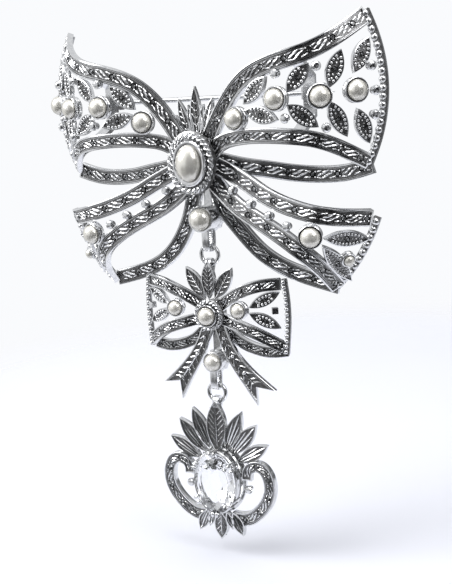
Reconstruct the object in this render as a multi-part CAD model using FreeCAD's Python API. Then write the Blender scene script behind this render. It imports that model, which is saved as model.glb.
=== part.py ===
"""Double-bow drop brooch in antiqued metal with half-pearls and an oval crystal.

Three stages hang in a chain: a large puffed bow with a pin across its back, a
small bow below it, and a fan-and-scroll pendant that carries the crystal.
Everything is drawn in millimetres with X to the right, Y to the back and Z up,
about the centre of the large rosette. The export then moves it so that the
origin is the middle of the pin stem.
"""
import FreeCAD
import Part
import math
import os

V = FreeCAD.Vector

# Stones
DROP_PEARL_R = 2.45       # 5 mm half-pearl under the large rosette
PEARL_R = 2.1             # 4 mm half-pearls of the large wings and loops
SMALL_PEARL_R = 1.6       # 3 mm half-pearls of the small bow's wings
MID_PEARL_R = 1.95        # 4 mm half-pearls on the small bow's middle line
TINY_PEARL_R = 1.2        # seed half-pearl in each lower loop
CABOCHON = (3.0, 4.0)     # half-axes of the oval centre pearl
CRYSTAL = (5.0, 7.0)      # half-axes of the oval crystal
CUP_WALL = 0.35

# Ribbons
RIBBON_W = 3.5
LOWER_RIBBON_W = 3.1      # the wings' lower ribbon, which passes close under the first pearl
RIBBON_T = 1.3
SMALL_RIBBON_W = 2.6
SMALL_RIBBON_T = 1.0
RAIL_W = 1.5
SMALL_RAIL_W = 1.1
TAIL_W = 2.6              # the small bow's tails, at the knot
TAIL_END_W = 5.8          # and at their swallow-cut ends
SCROLL_W = 3.3            # the pendant's scrolls, at the foot
SCROLL_END_W = 2.3        # and at the inner end of the volute
SCROLL_T = 1.5

# Leaves
LEAF_W = 3.4              # navette leaves of the large bow
LEAF_T = 1.1
SMALL_LEAF_W = 2.6
SMALL_LEAF_T = 0.9
CROWN_LEAF_W = 3.3        # the three leaves over the small rosette

# Bead posts between the leaves
BEAD_R = 0.95
BEAD_H = 1.0
BEAD_SINK = 0.8           # how deep a post goes into the front it stands on

# Large bow
WING_HALF = 39.1          # half-width of the wings at their widest level
WING_LEVEL = 13.3         # height of that level
WING_BULGE = 0.016        # how fast the wing ends curve in above and below it
WING_CREST = -3.3         # the foremost line of the wings
WING_BACK = 8.4           # how far back the wing ends turn
CREST_AT = 0.53           # share of the half-width where the crest lies
LOOP_REACH = 39.5         # distance of the lower loops' ends from the rosette
HUB = (4.6, 5.4)          # half-axes of the knot that every ribbon ends in
HUB_FRONT = -0.7
HUB_BACK = 4.6

# Pin across the back
STEM_Y = 10.0
STEM_Z = 13.0
STEM_R = 0.55
HINGE_X = -23.5
CATCH_X = 23.5
BRIDGE_Y = 6.0            # front face of the two straps that carry hinge and catch
BRIDGE_T = 0.9
BRIDGE_W = 2.6
RIVET_R = 0.38
RUN_GAP = 0.04            # radial running clearance on the rivet
SIDE_GAP = 0.08           # clearance between flat faces that move past each other

# Chain
RING_R = 2.05             # centre-line radius of a jump ring
RING_WIRE = 0.45
BAIL_W = 1.9
BAIL_T = 0.7
BAIL_H = 4.8              # the bail under the large bow's drop cup
BAIL_D = 3.4
SMALL_BAIL_H = 4.4        # the bail under the small bow's drop cup
SMALL_BAIL_D = 2.9
BAIL_LAP = 0.15           # how far a bail reaches up into its cup
NECK_W = 1.8              # strap behind the large knot that carries the drop cup
NECK_LENGTH = 10.0
EYE_H = 2.9               # an eye strap behind a leaf
CHAIN_Y = 4.2             # depth at which the chain hangs
DROP_Z = -12.0            # centre of the pearl cup under the large rosette
LINK_GAP = 0.27           # room under a ring's wire, which bends inside the strap's width
SMALL_DROP_Z = -10.7      # centre of the pearl cup under the small rosette
SMALL_CUP = (7.7, 1.5)    # centre of each wing's cup on the small bow
SMALL_Y = 3.6             # depth of the small bow's own rosette plane
SMALL_EYE_TOP = 12.3      # top of the small bow's eye over its rosette
PENDANT_Y = 2.2           # depth of the pendant's own plane
PENDANT_EYE_TOP = 19.4    # top of the pendant's eye over the crystal's centre


def mirrored(shape):
    """The same shape on the left-hand side."""
    return shape.mirror(V(0, 0, 0), V(1, 0, 0))


def both_sides(shapes):
    """Right-hand shapes together with their mirror images."""
    return shapes + [mirrored(s) for s in shapes]


def group(shapes):
    """One compound of separate solids."""
    solids = []
    for shape in shapes:
        solids += shape.Solids
    return Part.makeCompound(solids)


def trimmed(shape, others):
    """Shape cut back where it meets the others, so that they only touch."""
    for other in others:
        if shape.BoundBox.intersect(other.BoundBox):
            shape = shape.cut(other)
    largest = max(solid.Volume for solid in shape.Solids)
    return group([s for s in shape.Solids if s.Volume > 0.2 * largest])


# Curved fronts of the two bows ------------------------------------------------

def wing_end(z):
    """X of the large wing's end at height z."""
    return WING_HALF - WING_BULGE * (z - WING_LEVEL) ** 2


def swell(s, start, crest, back, crest_at):
    """Depth of a puffed surface at share s of its length."""
    if s < crest_at:
        return start + (crest - start) * (1 - math.cos(math.pi * s / crest_at)) / 2
    t = (s - crest_at) / (1 - crest_at)
    return crest + (back - crest) * t * t


def wing(x, z):
    """Depth of the large upper wings' front."""
    return swell(abs(x) / wing_end(z), 0.0, WING_CREST, WING_BACK, CREST_AT)


def loop(x, z):
    """Depth of the large lower loops' front."""
    return swell(math.hypot(x, z) / LOOP_REACH, 2.2, -1.6, 8.8, 0.68)


def small_wing(x, z):
    """Depth of the small bow's front, in its own frame."""
    return swell(abs(x) / 17.0, 0.0, -1.6, 1.9, 0.5)


def front_normal(front, x, z):
    """Outward normal of a front surface, towards -Y."""
    h = 0.05
    slope_x = (front(x + h, z) - front(x - h, z)) / (2 * h)
    slope_z = (front(x, z + h) - front(x, z - h)) / (2 * h)
    return V(slope_x, -1, slope_z).normalize()


# Building blocks --------------------------------------------------------------

def ribbon(points, width, thick, front=None, stations=9, end_width=None):
    """A flat band along a smooth line, its face lying in the front surface."""
    if front:
        points = [V(x, front(x, z), z) for x, z in points]
    else:
        points = [V(*p) for p in points]
    line = Part.BSplineCurve()
    line.interpolate(points)
    first, last = line.FirstParameter, line.LastParameter
    sections = []
    for i in range(stations):
        share = i / (stations - 1)
        u = first + (last - first) * share
        spot = line.value(u)
        along = line.tangent(u)[0]
        face = V(0, -1, 0)
        if front:
            spot.y = front(spot.x, spot.z)
            face = front_normal(front, spot.x, spot.z)
        across = along.cross(face).normalize()
        depth = across.cross(along).normalize()
        if depth.y < 0:
            depth = depth * -1
        half = width / 2 if end_width is None else (width + (end_width - width) * share) / 2
        corners = [spot + across * half, spot - across * half,
                   spot - across * half + depth * thick, spot + across * half + depth * thick]
        sections.append(Part.makePolygon(corners + corners[:1]))
    return Part.makeLoft(sections, True, False)


def place(shape, spot, normal, along=V(1, 0, 0)):
    """Move a shape drawn on the XY plane, front towards +Z, onto a surface."""
    side = (along - normal * along.dot(normal)).normalize()
    up = normal.cross(side)
    m = FreeCAD.Matrix(side.x, up.x, normal.x, spot.x,
                       side.y, up.y, normal.y, spot.y,
                       side.z, up.z, normal.z, spot.z,
                       0, 0, 0, 1)
    moved = shape.copy()
    moved.Placement = FreeCAD.Placement(m)
    return moved


def leaf_blank(length, width, thick):
    """A pointed lens-shaped plate along X, from 0 to its length."""
    a, b = V(0, 0, 0), V(length, 0, 0)
    top = Part.Arc(a, V(length / 2, width / 2, 0), b).toShape()
    low = Part.Arc(b, V(length / 2, -width / 2, 0), a).toShape()
    face = Part.Face(Part.Wire([top, low]))
    return face.extrude(V(0, 0, -thick))


def leaf(start, end, width, thick, lift=0.0):
    """A leaf between two points in space, facing -Y as nearly as it can."""
    start, end = V(*start), V(*end)
    along = end - start
    normal = V(0, -1, 0) - along * (V(0, -1, 0).dot(along) / along.dot(along))
    normal.normalize()
    return place(leaf_blank(along.Length, width, thick), start + normal * lift, normal, along)


def surface_leaf(front, start, end, width, thick):
    """A leaf that lies on a front surface between two (x, z) points."""
    a = V(start[0], front(*start), start[1])
    b = V(end[0], front(*end), end[1])
    middle = (a + b) * 0.5
    normal = front_normal(front, middle.x, middle.z)
    along = b - a
    lift = max(0.0, (middle.y - front(middle.x, middle.z)) * 0.6)
    return place(leaf_blank(along.Length, width, thick), a + normal * lift, normal, along)


def cup(radius, height, floor):
    """A round cup that opens towards +Z, its underside at Z = 0."""
    outer = Part.makeCylinder(radius + CUP_WALL, height)
    return outer.cut(Part.makeCylinder(radius, height, V(0, 0, floor)))


def half_pearl(radius, dome, skirt, floor):
    """A half-pearl that sits in a cup: a short skirt with a dome on it."""
    top = floor + skirt + dome
    ball_r = (radius ** 2 + dome ** 2) / (2 * dome)
    ball = Part.makeSphere(ball_r, V(0, 0, top - ball_r))
    return Part.makeCylinder(radius, top - floor, V(0, 0, floor)).common(ball)


def oval(half, y0, y1):
    """An oval block between two depths."""
    if half[0] >= half[1]:
        curve = Part.Ellipse(V(0, 0, 0), half[0], half[1])
    else:
        curve = Part.Ellipse(V(0, half[1], 0), V(half[0], 0, 0), V(0, 0, 0))
    block = Part.Face(Part.Wire([curve.toShape()])).extrude(V(0, 0, y0 - y1))
    block.rotate(V(0, 0, 0), V(1, 0, 0), 90)
    block.translate(V(0, y0, 0))
    return block


def oval_ring(outer, inner, y0, y1):
    return oval(outer, y0, y1).cut(oval(inner, y0 - 1, y1 + 1))


def oval_dome(half, y_base, rise):
    """A domed oval whose flat underside is at y_base."""
    ball = Part.makeSphere(1.0)
    scale = FreeCAD.Matrix()
    scale.scale(half[0], rise, half[1])
    dome = ball.transformGeometry(scale)
    keep = Part.makeBox(40, 20, 40, V(-20, -20, -20))
    return dome.common(keep).translated(V(0, y_base, 0))


def bead_post(radius, height):
    """A small round post with a domed head, standing on Z = 0."""
    post = Part.makeCylinder(radius, height)
    head = Part.makeSphere(radius, V(0, 0, height))
    return post.fuse(head).removeSplitter()


def on_front(shape, front, x, z, sink):
    """Stand a shape on a front surface, sunk into its thickness."""
    normal = front_normal(front, x, z)
    return place(shape, V(x, front(x, z), z) - normal * sink, normal)


def bail(y, top, height, depth):
    """A narrow strap bent into an upright U, open towards left and right."""
    outer = Part.makeBox(BAIL_W, depth, height, V(-BAIL_W / 2, y - depth / 2, top - height))
    round_edges = [e for e in outer.Edges
                   if abs(e.CenterOfMass.z - (top - height)) < 0.01 and e.Length < BAIL_W + 0.01
                   and abs(e.CenterOfMass.x) < 0.01]
    outer = outer.makeFillet(depth / 2 - 0.05, round_edges)
    inner = Part.makeBox(BAIL_W + 2, depth - 2 * BAIL_T, height - BAIL_T,
                         V(-BAIL_W / 2 - 1, y - depth / 2 + BAIL_T, top - height + BAIL_T))
    low_edges = [e for e in inner.Edges
                 if abs(e.CenterOfMass.z - (top - height + BAIL_T)) < 0.01
                 and abs(e.CenterOfMass.x) < 0.01]
    inner = inner.makeFillet((depth - 2 * BAIL_T) / 2 - 0.02, low_edges)
    return outer.cut(inner)


def jump_ring(y, z):
    """A round ring that faces the front."""
    return Part.makeTorus(RING_R, RING_WIRE, V(0, y, z), V(0, 1, 0))


def hanger(y, top, length):
    """An upright eye strap: the ring's wire passes through it from side to side."""
    depth = 2 * RING_WIRE + 2 * BAIL_T + 0.5
    strap = Part.makeBox(BAIL_W * 0.7, depth, length, V(-BAIL_W * 0.35, y - depth / 2, top - length))
    tops = [e for e in strap.Edges if abs(e.CenterOfMass.z - top) < 0.01
            and abs(e.CenterOfMass.x) < 0.01]
    strap = strap.makeFillet(depth / 2 - 0.05, tops)
    eye_r = depth / 2 - BAIL_T
    eye_z = top - BAIL_T - eye_r
    eye = Part.makeCylinder(eye_r, 6, V(-3, y, eye_z), V(1, 0, 0))
    slot = Part.makeBox(6, 2 * eye_r, 1.1, V(-3, y - eye_r, eye_z - 1.1))
    return strap.cut(eye).cut(slot)


# Large bow --------------------------------------------------------------------

def large_ribbons():
    """Every ribbon of the right half, each cut back to the pieces before it."""
    hub = oval(HUB, HUB_FRONT, HUB_BACK)
    top = ribbon([(2.4, 3.2), (7.9, 11.9), (12.5, 16.3), (19.1, 19.0), (27.1, 21.2),
                  (32.0, 24.2), (35.4, 27.6)], RIBBON_W, RIBBON_T, wing, 11)
    lower = ribbon([(3.2, 2.0), (6.5, 4.0), (10.5, 4.9), (16.0, 5.2), (22.0, 4.9), (27.3, 4.0),
                    (31.0, 2.3), (35.3, -1.2)], LOWER_RIBBON_W, RIBBON_T, wing, 11)
    back = ribbon([(3.2, 3.2, 0.2), (8.5, 4.4, -1.2), (13.7, 5.6, -2.1), (18.0, 6.9, -2.9),
                   (24.0, 8.3, -3.5), (30.0, 8.9, -3.2), (35.3, 9.2, -1.8)],
                  RIBBON_W, RIBBON_T, None, 9)
    loop_top = ribbon([(3.2, -0.6), (10.3, -4.0), (15.1, -6.7), (22.0, -9.4), (29.1, -11.2),
                       (36.0, -12.3)], RIBBON_W, RIBBON_T, loop, 11)
    loop_low = ribbon([(2.6, -3.8), (8.8, -9.2), (13.9, -12.0), (18.7, -14.7), (23.4, -18.2),
                       (26.5, -22.2), (28.0, -27.0)], RIBBON_W, RIBBON_T, loop, 11)
    loop_back = ribbon([(2.2, 3.3, -3.8), (3.9, 4.2, -10.0), (6.7, 5.9, -14.9),
                        (9.8, 7.0, -18.9), (13.9, 8.0, -22.3), (20.0, 9.0, -25.0),
                        (27.4, 9.4, -27.0)], RIBBON_W, RIBBON_T, None, 9)
    done = {}
    order = [("top_ribbon", top), ("lower_ribbon", lower), ("loop_top_ribbon", loop_top),
             ("loop_bottom_ribbon", loop_low), ("back_ribbon", back),
             ("loop_back_ribbon", loop_back)]
    for name, shape in order:
        done[name] = trimmed(shape, [hub] + list(done.values()))
    return hub, done


def end_rails(ribbons):
    """The beaded rails that close the wing and the lower loop at their ends."""
    wing_points = [(wing_end(z) - RAIL_W / 2, WING_BACK - 0.5, z)
                   for z in (-1.8, 3.0, 8.0, WING_LEVEL, 19.0, 24.0, 28.4)]
    loop_points = []
    for angle in (-18.6, -24.0, -30.0, -36.0, -41.0, -44.4):
        turn = math.radians(angle)
        reach = LOOP_REACH - 1.2
        loop_points.append((reach * math.cos(turn), 7.9, reach * math.sin(turn)))
    rails = {"wing_end_rail": ribbon(wing_points, RAIL_W, RIBBON_T),
             "loop_end_rail": ribbon(loop_points, RAIL_W, RIBBON_T)}
    return {name: trimmed(rail, list(ribbons.values())) for name, rail in rails.items()}


WING_CUPS = [(10.9, 8.7), (20.3, 12.2), (28.5, 12.3), (34.3, 13.1)]
LOOP_CUPS = [(25.6, -14.9)]
TINY_CUPS = [(31.0, -20.4)]
WING_BEADS = [(20.4, 17.0), (28.0, 18.0), (36.6, 17.6), (37.2, 12.9), (36.9, 8.3),
              (29.3, 6.3), (22.1, 8.4)]
LOOP_BEADS = [(7.9, -5.9), (12.5, -8.6), (16.9, -10.9), (20.9, -12.9)]
WING_LEAVES = [((12.6, 11.4), (18.0, 16.6)), ((12.9, 10.3), (20.3, 8.1)),
               ((22.4, 13.3), (26.7, 18.7)), ((22.4, 11.0), (28.1, 6.4)),
               ((30.1, 13.7), (32.1, 21.0)), ((34.2, 16.4), (36.1, 23.2)),
               ((30.1, 11.4), (32.6, 4.2)), ((34.6, 9.6), (35.8, 2.6))]
LOOP_LEAVES = [((27.9, -15.6), (35.0, -16.4)), ((27.5, -17.0), (30.3, -25.4))]


def cups_and_pearls():
    """Right-hand cups and half-pearls of the large bow."""
    cups, pearls = [], []
    spots = [(wing, x, z, PEARL_R) for x, z in WING_CUPS]
    spots += [(loop, x, z, PEARL_R) for x, z in LOOP_CUPS]
    spots += [(loop, x, z, TINY_PEARL_R) for x, z in TINY_CUPS]
    for front, x, z, radius in spots:
        height = 1.1 + 0.35 * radius
        skirt = height - 0.5
        cups.append(on_front(cup(radius, height, 0.4), front, x, z, 0.9))
        pearls.append(on_front(half_pearl(radius, radius * 0.85, skirt, 0.4), front, x, z, 0.9))
    return cups, pearls


def large_leaves(front, ends, walls):
    plates = [surface_leaf(front, a, b, LEAF_W, LEAF_T) for a, b in ends]
    done = []
    for plate in plates:
        done.append(trimmed(plate, walls + done))
    return done


def large_beads(walls):
    beads = []
    for front, spots in ((wing, WING_BEADS), (loop, LOOP_BEADS)):
        for x, z in spots:
            post = on_front(bead_post(BEAD_R, BEAD_H), front, x, z, BEAD_SINK)
            beads.append(trimmed(post, walls))
    return beads


def leaf_fan(walls):
    """Leaves that stand up between the wings: a veined one between pairs of blades."""
    leaves = []
    reach = [(0.0, 15.6, 2.6), (17.0, 13.8, 2.2), (8.5, 12.0, 1.3), (26.0, 11.0, 1.4)]
    for degrees, length, width in reach:
        turn = math.radians(degrees)
        for side in ((1,) if degrees == 0 else (1, -1)):
            tip = (side * length * math.sin(turn), 1.7, length * math.cos(turn))
            foot = (side * 3.6 * math.sin(turn), 1.2, 3.6 * math.cos(turn))
            plate = leaf(foot, tip, width, 0.9)
            leaves.append(trimmed(plate, walls + leaves))
    return leaves


def rosette(cabochon, collar_wall, rope, y_back, depth):
    """Rope bezel, smooth collar and domed oval pearl on a common back plane."""
    collar_half = (cabochon[0] + collar_wall, cabochon[1] + collar_wall)
    rope_half = (collar_half[0] + rope, collar_half[1] + rope)
    rope_ring = oval_ring(rope_half, collar_half, y_back - depth * 0.75, y_back)
    collar = oval(collar_half, y_back - depth, y_back)
    seat = oval(cabochon, y_back - depth - 1, y_back - depth + 0.5)
    collar = collar.cut(seat)
    pearl = oval_dome(cabochon, y_back - depth + 0.5, cabochon[0] * 0.85 + 0.5)
    return rope_ring, collar, pearl


# Pin --------------------------------------------------------------------------

def pin_bridge(x, walls):
    """A strap bowed back behind a wing, from its top ribbon to its lower one."""
    y_back = BRIDGE_Y + BRIDGE_T
    top_z, low_z = 20.0, 5.0
    foot_y = wing(x, 12.0) + RIBBON_T
    outline = [V(x, foot_y, top_z + 1.0), V(x, y_back, top_z - 3.4), V(x, y_back, low_z + 3.4),
               V(x, foot_y, low_z - 1.0), V(x, foot_y, low_z + 0.2),
               V(x, BRIDGE_Y, low_z + 3.9), V(x, BRIDGE_Y, top_z - 3.9),
               V(x, foot_y, top_z - 0.2)]
    face = Part.Face(Part.makePolygon(outline + outline[:1]))
    strap = face.extrude(V(BRIDGE_W, 0, 0)).translated(V(-BRIDGE_W / 2, 0, 0))
    return trimmed(strap, walls)


def hinge_parts():
    """Two cheeks on a foot, the rivet through them, and the stem with its eye."""
    y_foot = BRIDGE_Y + BRIDGE_T
    eye_r = 1.15
    eye_h = 1.3
    gap = eye_h / 2 + SIDE_GAP
    cheek_t = 0.6
    foot = Part.makeBox(BRIDGE_W, 0.6, 2 * (gap + cheek_t),
                        V(HINGE_X - BRIDGE_W / 2, y_foot, STEM_Z - gap - cheek_t))
    joint = foot
    for low in (STEM_Z + gap, STEM_Z - gap - cheek_t):
        cheek = Part.makeCylinder(eye_r, cheek_t, V(HINGE_X, STEM_Y, low))
        web = Part.makeBox(2 * eye_r, STEM_Y - y_foot, cheek_t, V(HINGE_X - eye_r, y_foot, low))
        joint = joint.fuse(cheek.fuse(web))
    bore = Part.makeCylinder(RIVET_R, 8, V(HINGE_X, STEM_Y, STEM_Z - 4))
    joint = joint.cut(bore).removeSplitter()
    reach = gap + cheek_t
    rivet = Part.makeCylinder(RIVET_R, 2 * reach, V(HINGE_X, STEM_Y, STEM_Z - reach))
    for z in (STEM_Z + reach, STEM_Z - reach - 0.25):
        rivet = rivet.fuse(Part.makeCylinder(0.7, 0.25, V(HINGE_X, STEM_Y, z)))
    eye = Part.makeCylinder(eye_r, eye_h, V(HINGE_X, STEM_Y, STEM_Z - eye_h / 2))
    shank = Part.makeCylinder(STEM_R, CATCH_X - HINGE_X - 5, V(HINGE_X, STEM_Y, STEM_Z), V(1, 0, 0))
    point = Part.makeCone(STEM_R, 0.1, 9.0, V(CATCH_X - 5, STEM_Y, STEM_Z), V(1, 0, 0))
    hole = Part.makeCylinder(RIVET_R + RUN_GAP, 4, V(HINGE_X, STEM_Y, STEM_Z - 2))
    stem = eye.fuse(shank).fuse(point).removeSplitter().cut(hole)
    return joint, rivet.removeSplitter(), stem


def sector(r_out, r_in, x0, length, opening):
    """A split tube along X about the stem, with its slot of so many degrees at the back."""
    tube = Part.makeCylinder(r_out, length, V(x0, STEM_Y, STEM_Z), V(1, 0, 0))
    tube = tube.cut(Part.makeCylinder(r_in, length, V(x0, STEM_Y, STEM_Z), V(1, 0, 0)))
    half = math.radians(opening / 2)
    far = 4 * r_out
    wedge = Part.Face(Part.makePolygon([
        V(x0, STEM_Y, STEM_Z),
        V(x0, STEM_Y + far * math.cos(half), STEM_Z + far * math.sin(half)),
        V(x0, STEM_Y + far * math.cos(half), STEM_Z - far * math.sin(half)),
        V(x0, STEM_Y, STEM_Z)])).extrude(V(length, 0, 0))
    return tube.cut(wedge)


def catch_parts():
    """A C-shaped catch with two end cheeks, and the safety barrel that turns on it."""
    x0 = CATCH_X - 2.0
    y_foot = BRIDGE_Y + BRIDGE_T
    core = sector(1.35, 0.95, x0, 4.0, 100)
    body = core
    for x in (x0, x0 + 3.4):
        cheek = sector(1.9, 0.95, x, 0.6, 100)
        leg = Part.makeBox(0.6, STEM_Y - 1.3 - y_foot, 1.6, V(x, y_foot, STEM_Z - 0.8))
        body = body.fuse(cheek).fuse(leg)
    foot = Part.makeBox(4.0, 0.5, 2.4, V(x0, y_foot, STEM_Z - 1.2))
    body = body.fuse(foot).removeSplitter()
    barrel = sector(1.9, 1.35 + RUN_GAP, x0 + 0.6 + SIDE_GAP, 2.8 - 2 * SIDE_GAP, 100)
    tab = Part.makeBox(1.2, 1.5, 0.7, V(CATCH_X - 0.6, STEM_Y + 1.6, STEM_Z - 0.35))
    tab.rotate(V(CATCH_X, STEM_Y, STEM_Z), V(1, 0, 0), -64)
    clear = Part.makeCylinder(1.35 + RUN_GAP, 6, V(x0 - 1, STEM_Y, STEM_Z), V(1, 0, 0))
    barrel = barrel.fuse(tab.cut(clear)).removeSplitter()
    return body, barrel


# Pearl cup with its bail, used under both rosettes ----------------------------

def drop_cup(radius, y_front, y_back, z):
    """A deep round cup with a flared back dish, and the half-pearl in it."""
    depth = y_back - y_front
    wall = radius + CUP_WALL
    body = Part.makeCylinder(wall, depth - 1.0, V(0, y_front, z), V(0, 1, 0))
    dish = Part.makeCone(wall, wall + 0.5, 1.0, V(0, y_back - 1.0, z), V(0, 1, 0))
    body = body.fuse(dish)
    body = body.cut(Part.makeCylinder(radius, 1.2, V(0, y_front, z), V(0, 1, 0)))
    pearl = half_pearl(radius, radius * 0.85, 1.1, 0)
    pearl = place(pearl, V(0, y_front + 1.2, z), V(0, -1, 0))
    return body.removeSplitter(), pearl


# Small bow, in its own frame ---------------------------------------------------



def small_bow():
    """Every piece of the small bow about its own rosette centre."""
    hub = oval((2.5, 3.1), -0.5, 2.4)
    w, t = SMALL_RIBBON_W, SMALL_RIBBON_T
    top = ribbon([(1.6, 1.6), (6.5, 4.7), (11.5, 6.6), (16.2, 6.9)], w, t, small_wing, 7)
    low = ribbon([(1.6, -0.8), (6.5, -2.0), (11.5, -3.8), (16.4, -6.9)], w, t, small_wing, 7)
    back = ribbon([(1.4, 1.4, -2.0), (4.6, 1.7, -5.6), (8.5, 2.0, -7.6), (12.5, 2.2, -8.3),
                   (16.3, 2.9, -7.9)], w, t, None, 7)
    tail = ribbon([(1.2, 0.6, -2.2), (3.6, 0.3, -8.0), (7.0, 0.5, -13.0), (11.6, 1.4, -18.6)],
                  TAIL_W, t, None, 7, end_width=TAIL_END_W)
    notch = Part.Face(Part.makePolygon([V(14.6, -5, -16.6), V(9.7, -5, -15.6), V(8.4, -5, -21.0),
                                        V(15, -5, -22), V(14.6, -5, -16.6)]))
    tail = tail.cut(notch.extrude(V(0, 12, 0)))
    pieces = {}
    ribbons = []
    for shape in (top, low, tail, back):
        ribbons.append(trimmed(shape, [hub] + ribbons))
    tail = ribbons.pop(2)
    rail = ribbon([(16.6, 1.4, -8.4), (17.0, 1.6, -3.0), (17.0, 1.6, 3.0), (16.5, 1.4, 7.9)],
                  SMALL_RAIL_W, t)
    rail = trimmed(rail, ribbons)
    x, z = SMALL_CUP
    cup_side = on_front(cup(SMALL_PEARL_R, 1.7, 0.3), small_wing, x, z, 0.6)
    pearl_side = on_front(half_pearl(SMALL_PEARL_R, 1.5, 1.3, 0.3), small_wing, x, z, 0.6)
    walls = ribbons + [cup_side, rail]
    leaf_a = trimmed(surface_leaf(small_wing, (9.7, 2.1), (15.9, 5.2), SMALL_LEAF_W, SMALL_LEAF_T), walls)
    leaf_b = trimmed(surface_leaf(small_wing, (9.7, 0.9), (15.9, -2.6), SMALL_LEAF_W, SMALL_LEAF_T), walls)
    bead = trimmed(on_front(bead_post(0.7, 0.7), small_wing, 14.9, 1.4, 0.6), walls)
    rope, centre_cup, _ = rosette((MID_PEARL_R, MID_PEARL_R), 0.45, 1.1, -0.5, 2.2)
    centre_pearl = place(half_pearl(MID_PEARL_R, 1.65, 0.5, 0), V(0, -2.2, 0), V(0, -1, 0))
    eye = hanger(CHAIN_Y - SMALL_Y, SMALL_EYE_TOP, EYE_H)
    stalk = Part.makeBox(1.3, 0.9, eye.BoundBox.ZMin - 3.0, V(-0.65, 0.2, 3.0))
    front_leaf = leaf((0, -1.0, 3.5), (0, -1.0, 11.9), CROWN_LEAF_W, SMALL_LEAF_T)
    link = Part.makeBox(1.3, 0.5, 3.0, V(-0.65, -0.2, 5.0))
    crown = [trimmed(front_leaf.fuse(eye).fuse(stalk).fuse(link), [hub])]
    for side in (1, -1):
        crown.append(trimmed(leaf((side * 1.2, -0.7, 3.4), (side * 5.5, 0.6, 10.4),
                                  CROWN_LEAF_W, SMALL_LEAF_T),
                             crown + [hub] + both_sides(ribbons)))
    bowl, bowl_pearl = drop_cup(MID_PEARL_R, -1.0, 2.4, SMALL_DROP_Z)
    strap_top = SMALL_DROP_Z - MID_PEARL_R - CUP_WALL + BAIL_LAP
    strap = trimmed(bail(CHAIN_Y - SMALL_Y, strap_top, SMALL_BAIL_H, SMALL_BAIL_D), [bowl])
    neck = Part.makeBox(1.6, 0.8, 7.2, V(-0.8, 1.6, -9.4))
    neck = trimmed(neck, [hub, bowl] + both_sides(ribbons + [tail]))
    pieces["small_left_ribbons"] = group([mirrored(s) for s in ribbons])
    pieces["small_right_ribbons"] = group(ribbons)
    pieces["small_end_rails"] = group(both_sides([rail]))
    pieces["small_leaves"] = group(both_sides([leaf_a, leaf_b, bead]))
    pieces["small_left_tail"] = group([mirrored(tail)])
    pieces["small_right_tail"] = group([tail])
    pieces["small_knot"] = group([hub])
    pieces["small_rope_bezel"] = group([rope])
    pieces["small_pearl_cups"] = group(both_sides([cup_side]) + [centre_cup, bowl])
    pieces["small_bow_pearls"] = group(both_sides([pearl_side]) + [centre_pearl, bowl_pearl])
    pieces["small_leaf_crown"] = group(crown)
    pieces["small_bail"] = group([strap, neck])
    return pieces


# Heights down the chain --------------------------------------------------------

def bail_bottom():
    """Inner bottom of the bail under the large bow's drop cup."""
    return DROP_Z - DROP_PEARL_R - CUP_WALL + BAIL_LAP - BAIL_H + BAIL_T


def upper_ring_z():
    return bail_bottom() + RING_WIRE + LINK_GAP - RING_R


def hanger_top():
    """Top of the small bow's eye, which hangs on the ring's lowest point."""
    return upper_ring_z() - RING_R + RING_WIRE + LINK_GAP + BAIL_T


def small_z():
    """Height of the small rosette: its crown's tip is level with the eye's top."""
    return hanger_top() - SMALL_EYE_TOP


def small_bail_bottom():
    return (small_z() + SMALL_DROP_Z - MID_PEARL_R - CUP_WALL + BAIL_LAP
            - SMALL_BAIL_H + BAIL_T)


def lower_ring_z():
    return small_bail_bottom() + RING_WIRE + LINK_GAP - RING_R


def pendant_z():
    """Height of the crystal's centre."""
    return lower_ring_z() - RING_R + RING_WIRE + LINK_GAP + BAIL_T - PENDANT_EYE_TOP


# Pendant, about the crystal's centre -------------------------------------------

def scroll_band():
    """A ribbon rolled up into a volute beside the crystal."""
    path = [(3.0, 0.7, -8.9), (6.4, 0.6, -8.6), (9.6, 0.4, -6.4), (12.0, 0.2, -2.8),
            (12.4, 0.1, 1.2), (10.2, 0.0, 4.3), (7.6, 0.0, 3.4), (7.1, 0.0, 0.9)]
    return ribbon(path, SCROLL_W, SCROLL_T, None, 13, end_width=SCROLL_END_W)


def crystal_stone():
    """Oval stone: a flat table, a bevelled crown, a girdle and a tapered pavilion."""
    def outline(scale, y):
        curve = Part.Ellipse(V(0, CRYSTAL[1] * scale, 0), V(CRYSTAL[0] * scale, 0, 0), V(0, 0, 0))
        wire = Part.Wire([curve.toShape()])
        wire.rotate(V(0, 0, 0), V(1, 0, 0), 90)
        wire.translate(V(0, y, 0))
        return wire
    crown = Part.makeLoft([outline(0.62, -3.6), outline(1.0, -1.9)], True, True)
    girdle = Part.makeLoft([outline(1.0, -1.9), outline(1.0, -1.6)], True, True)
    pavilion = Part.makeLoft([outline(1.0, -1.6), outline(0.25, 1.4)], True, True)
    return crown.fuse(girdle).fuse(pavilion).removeSplitter()


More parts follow.
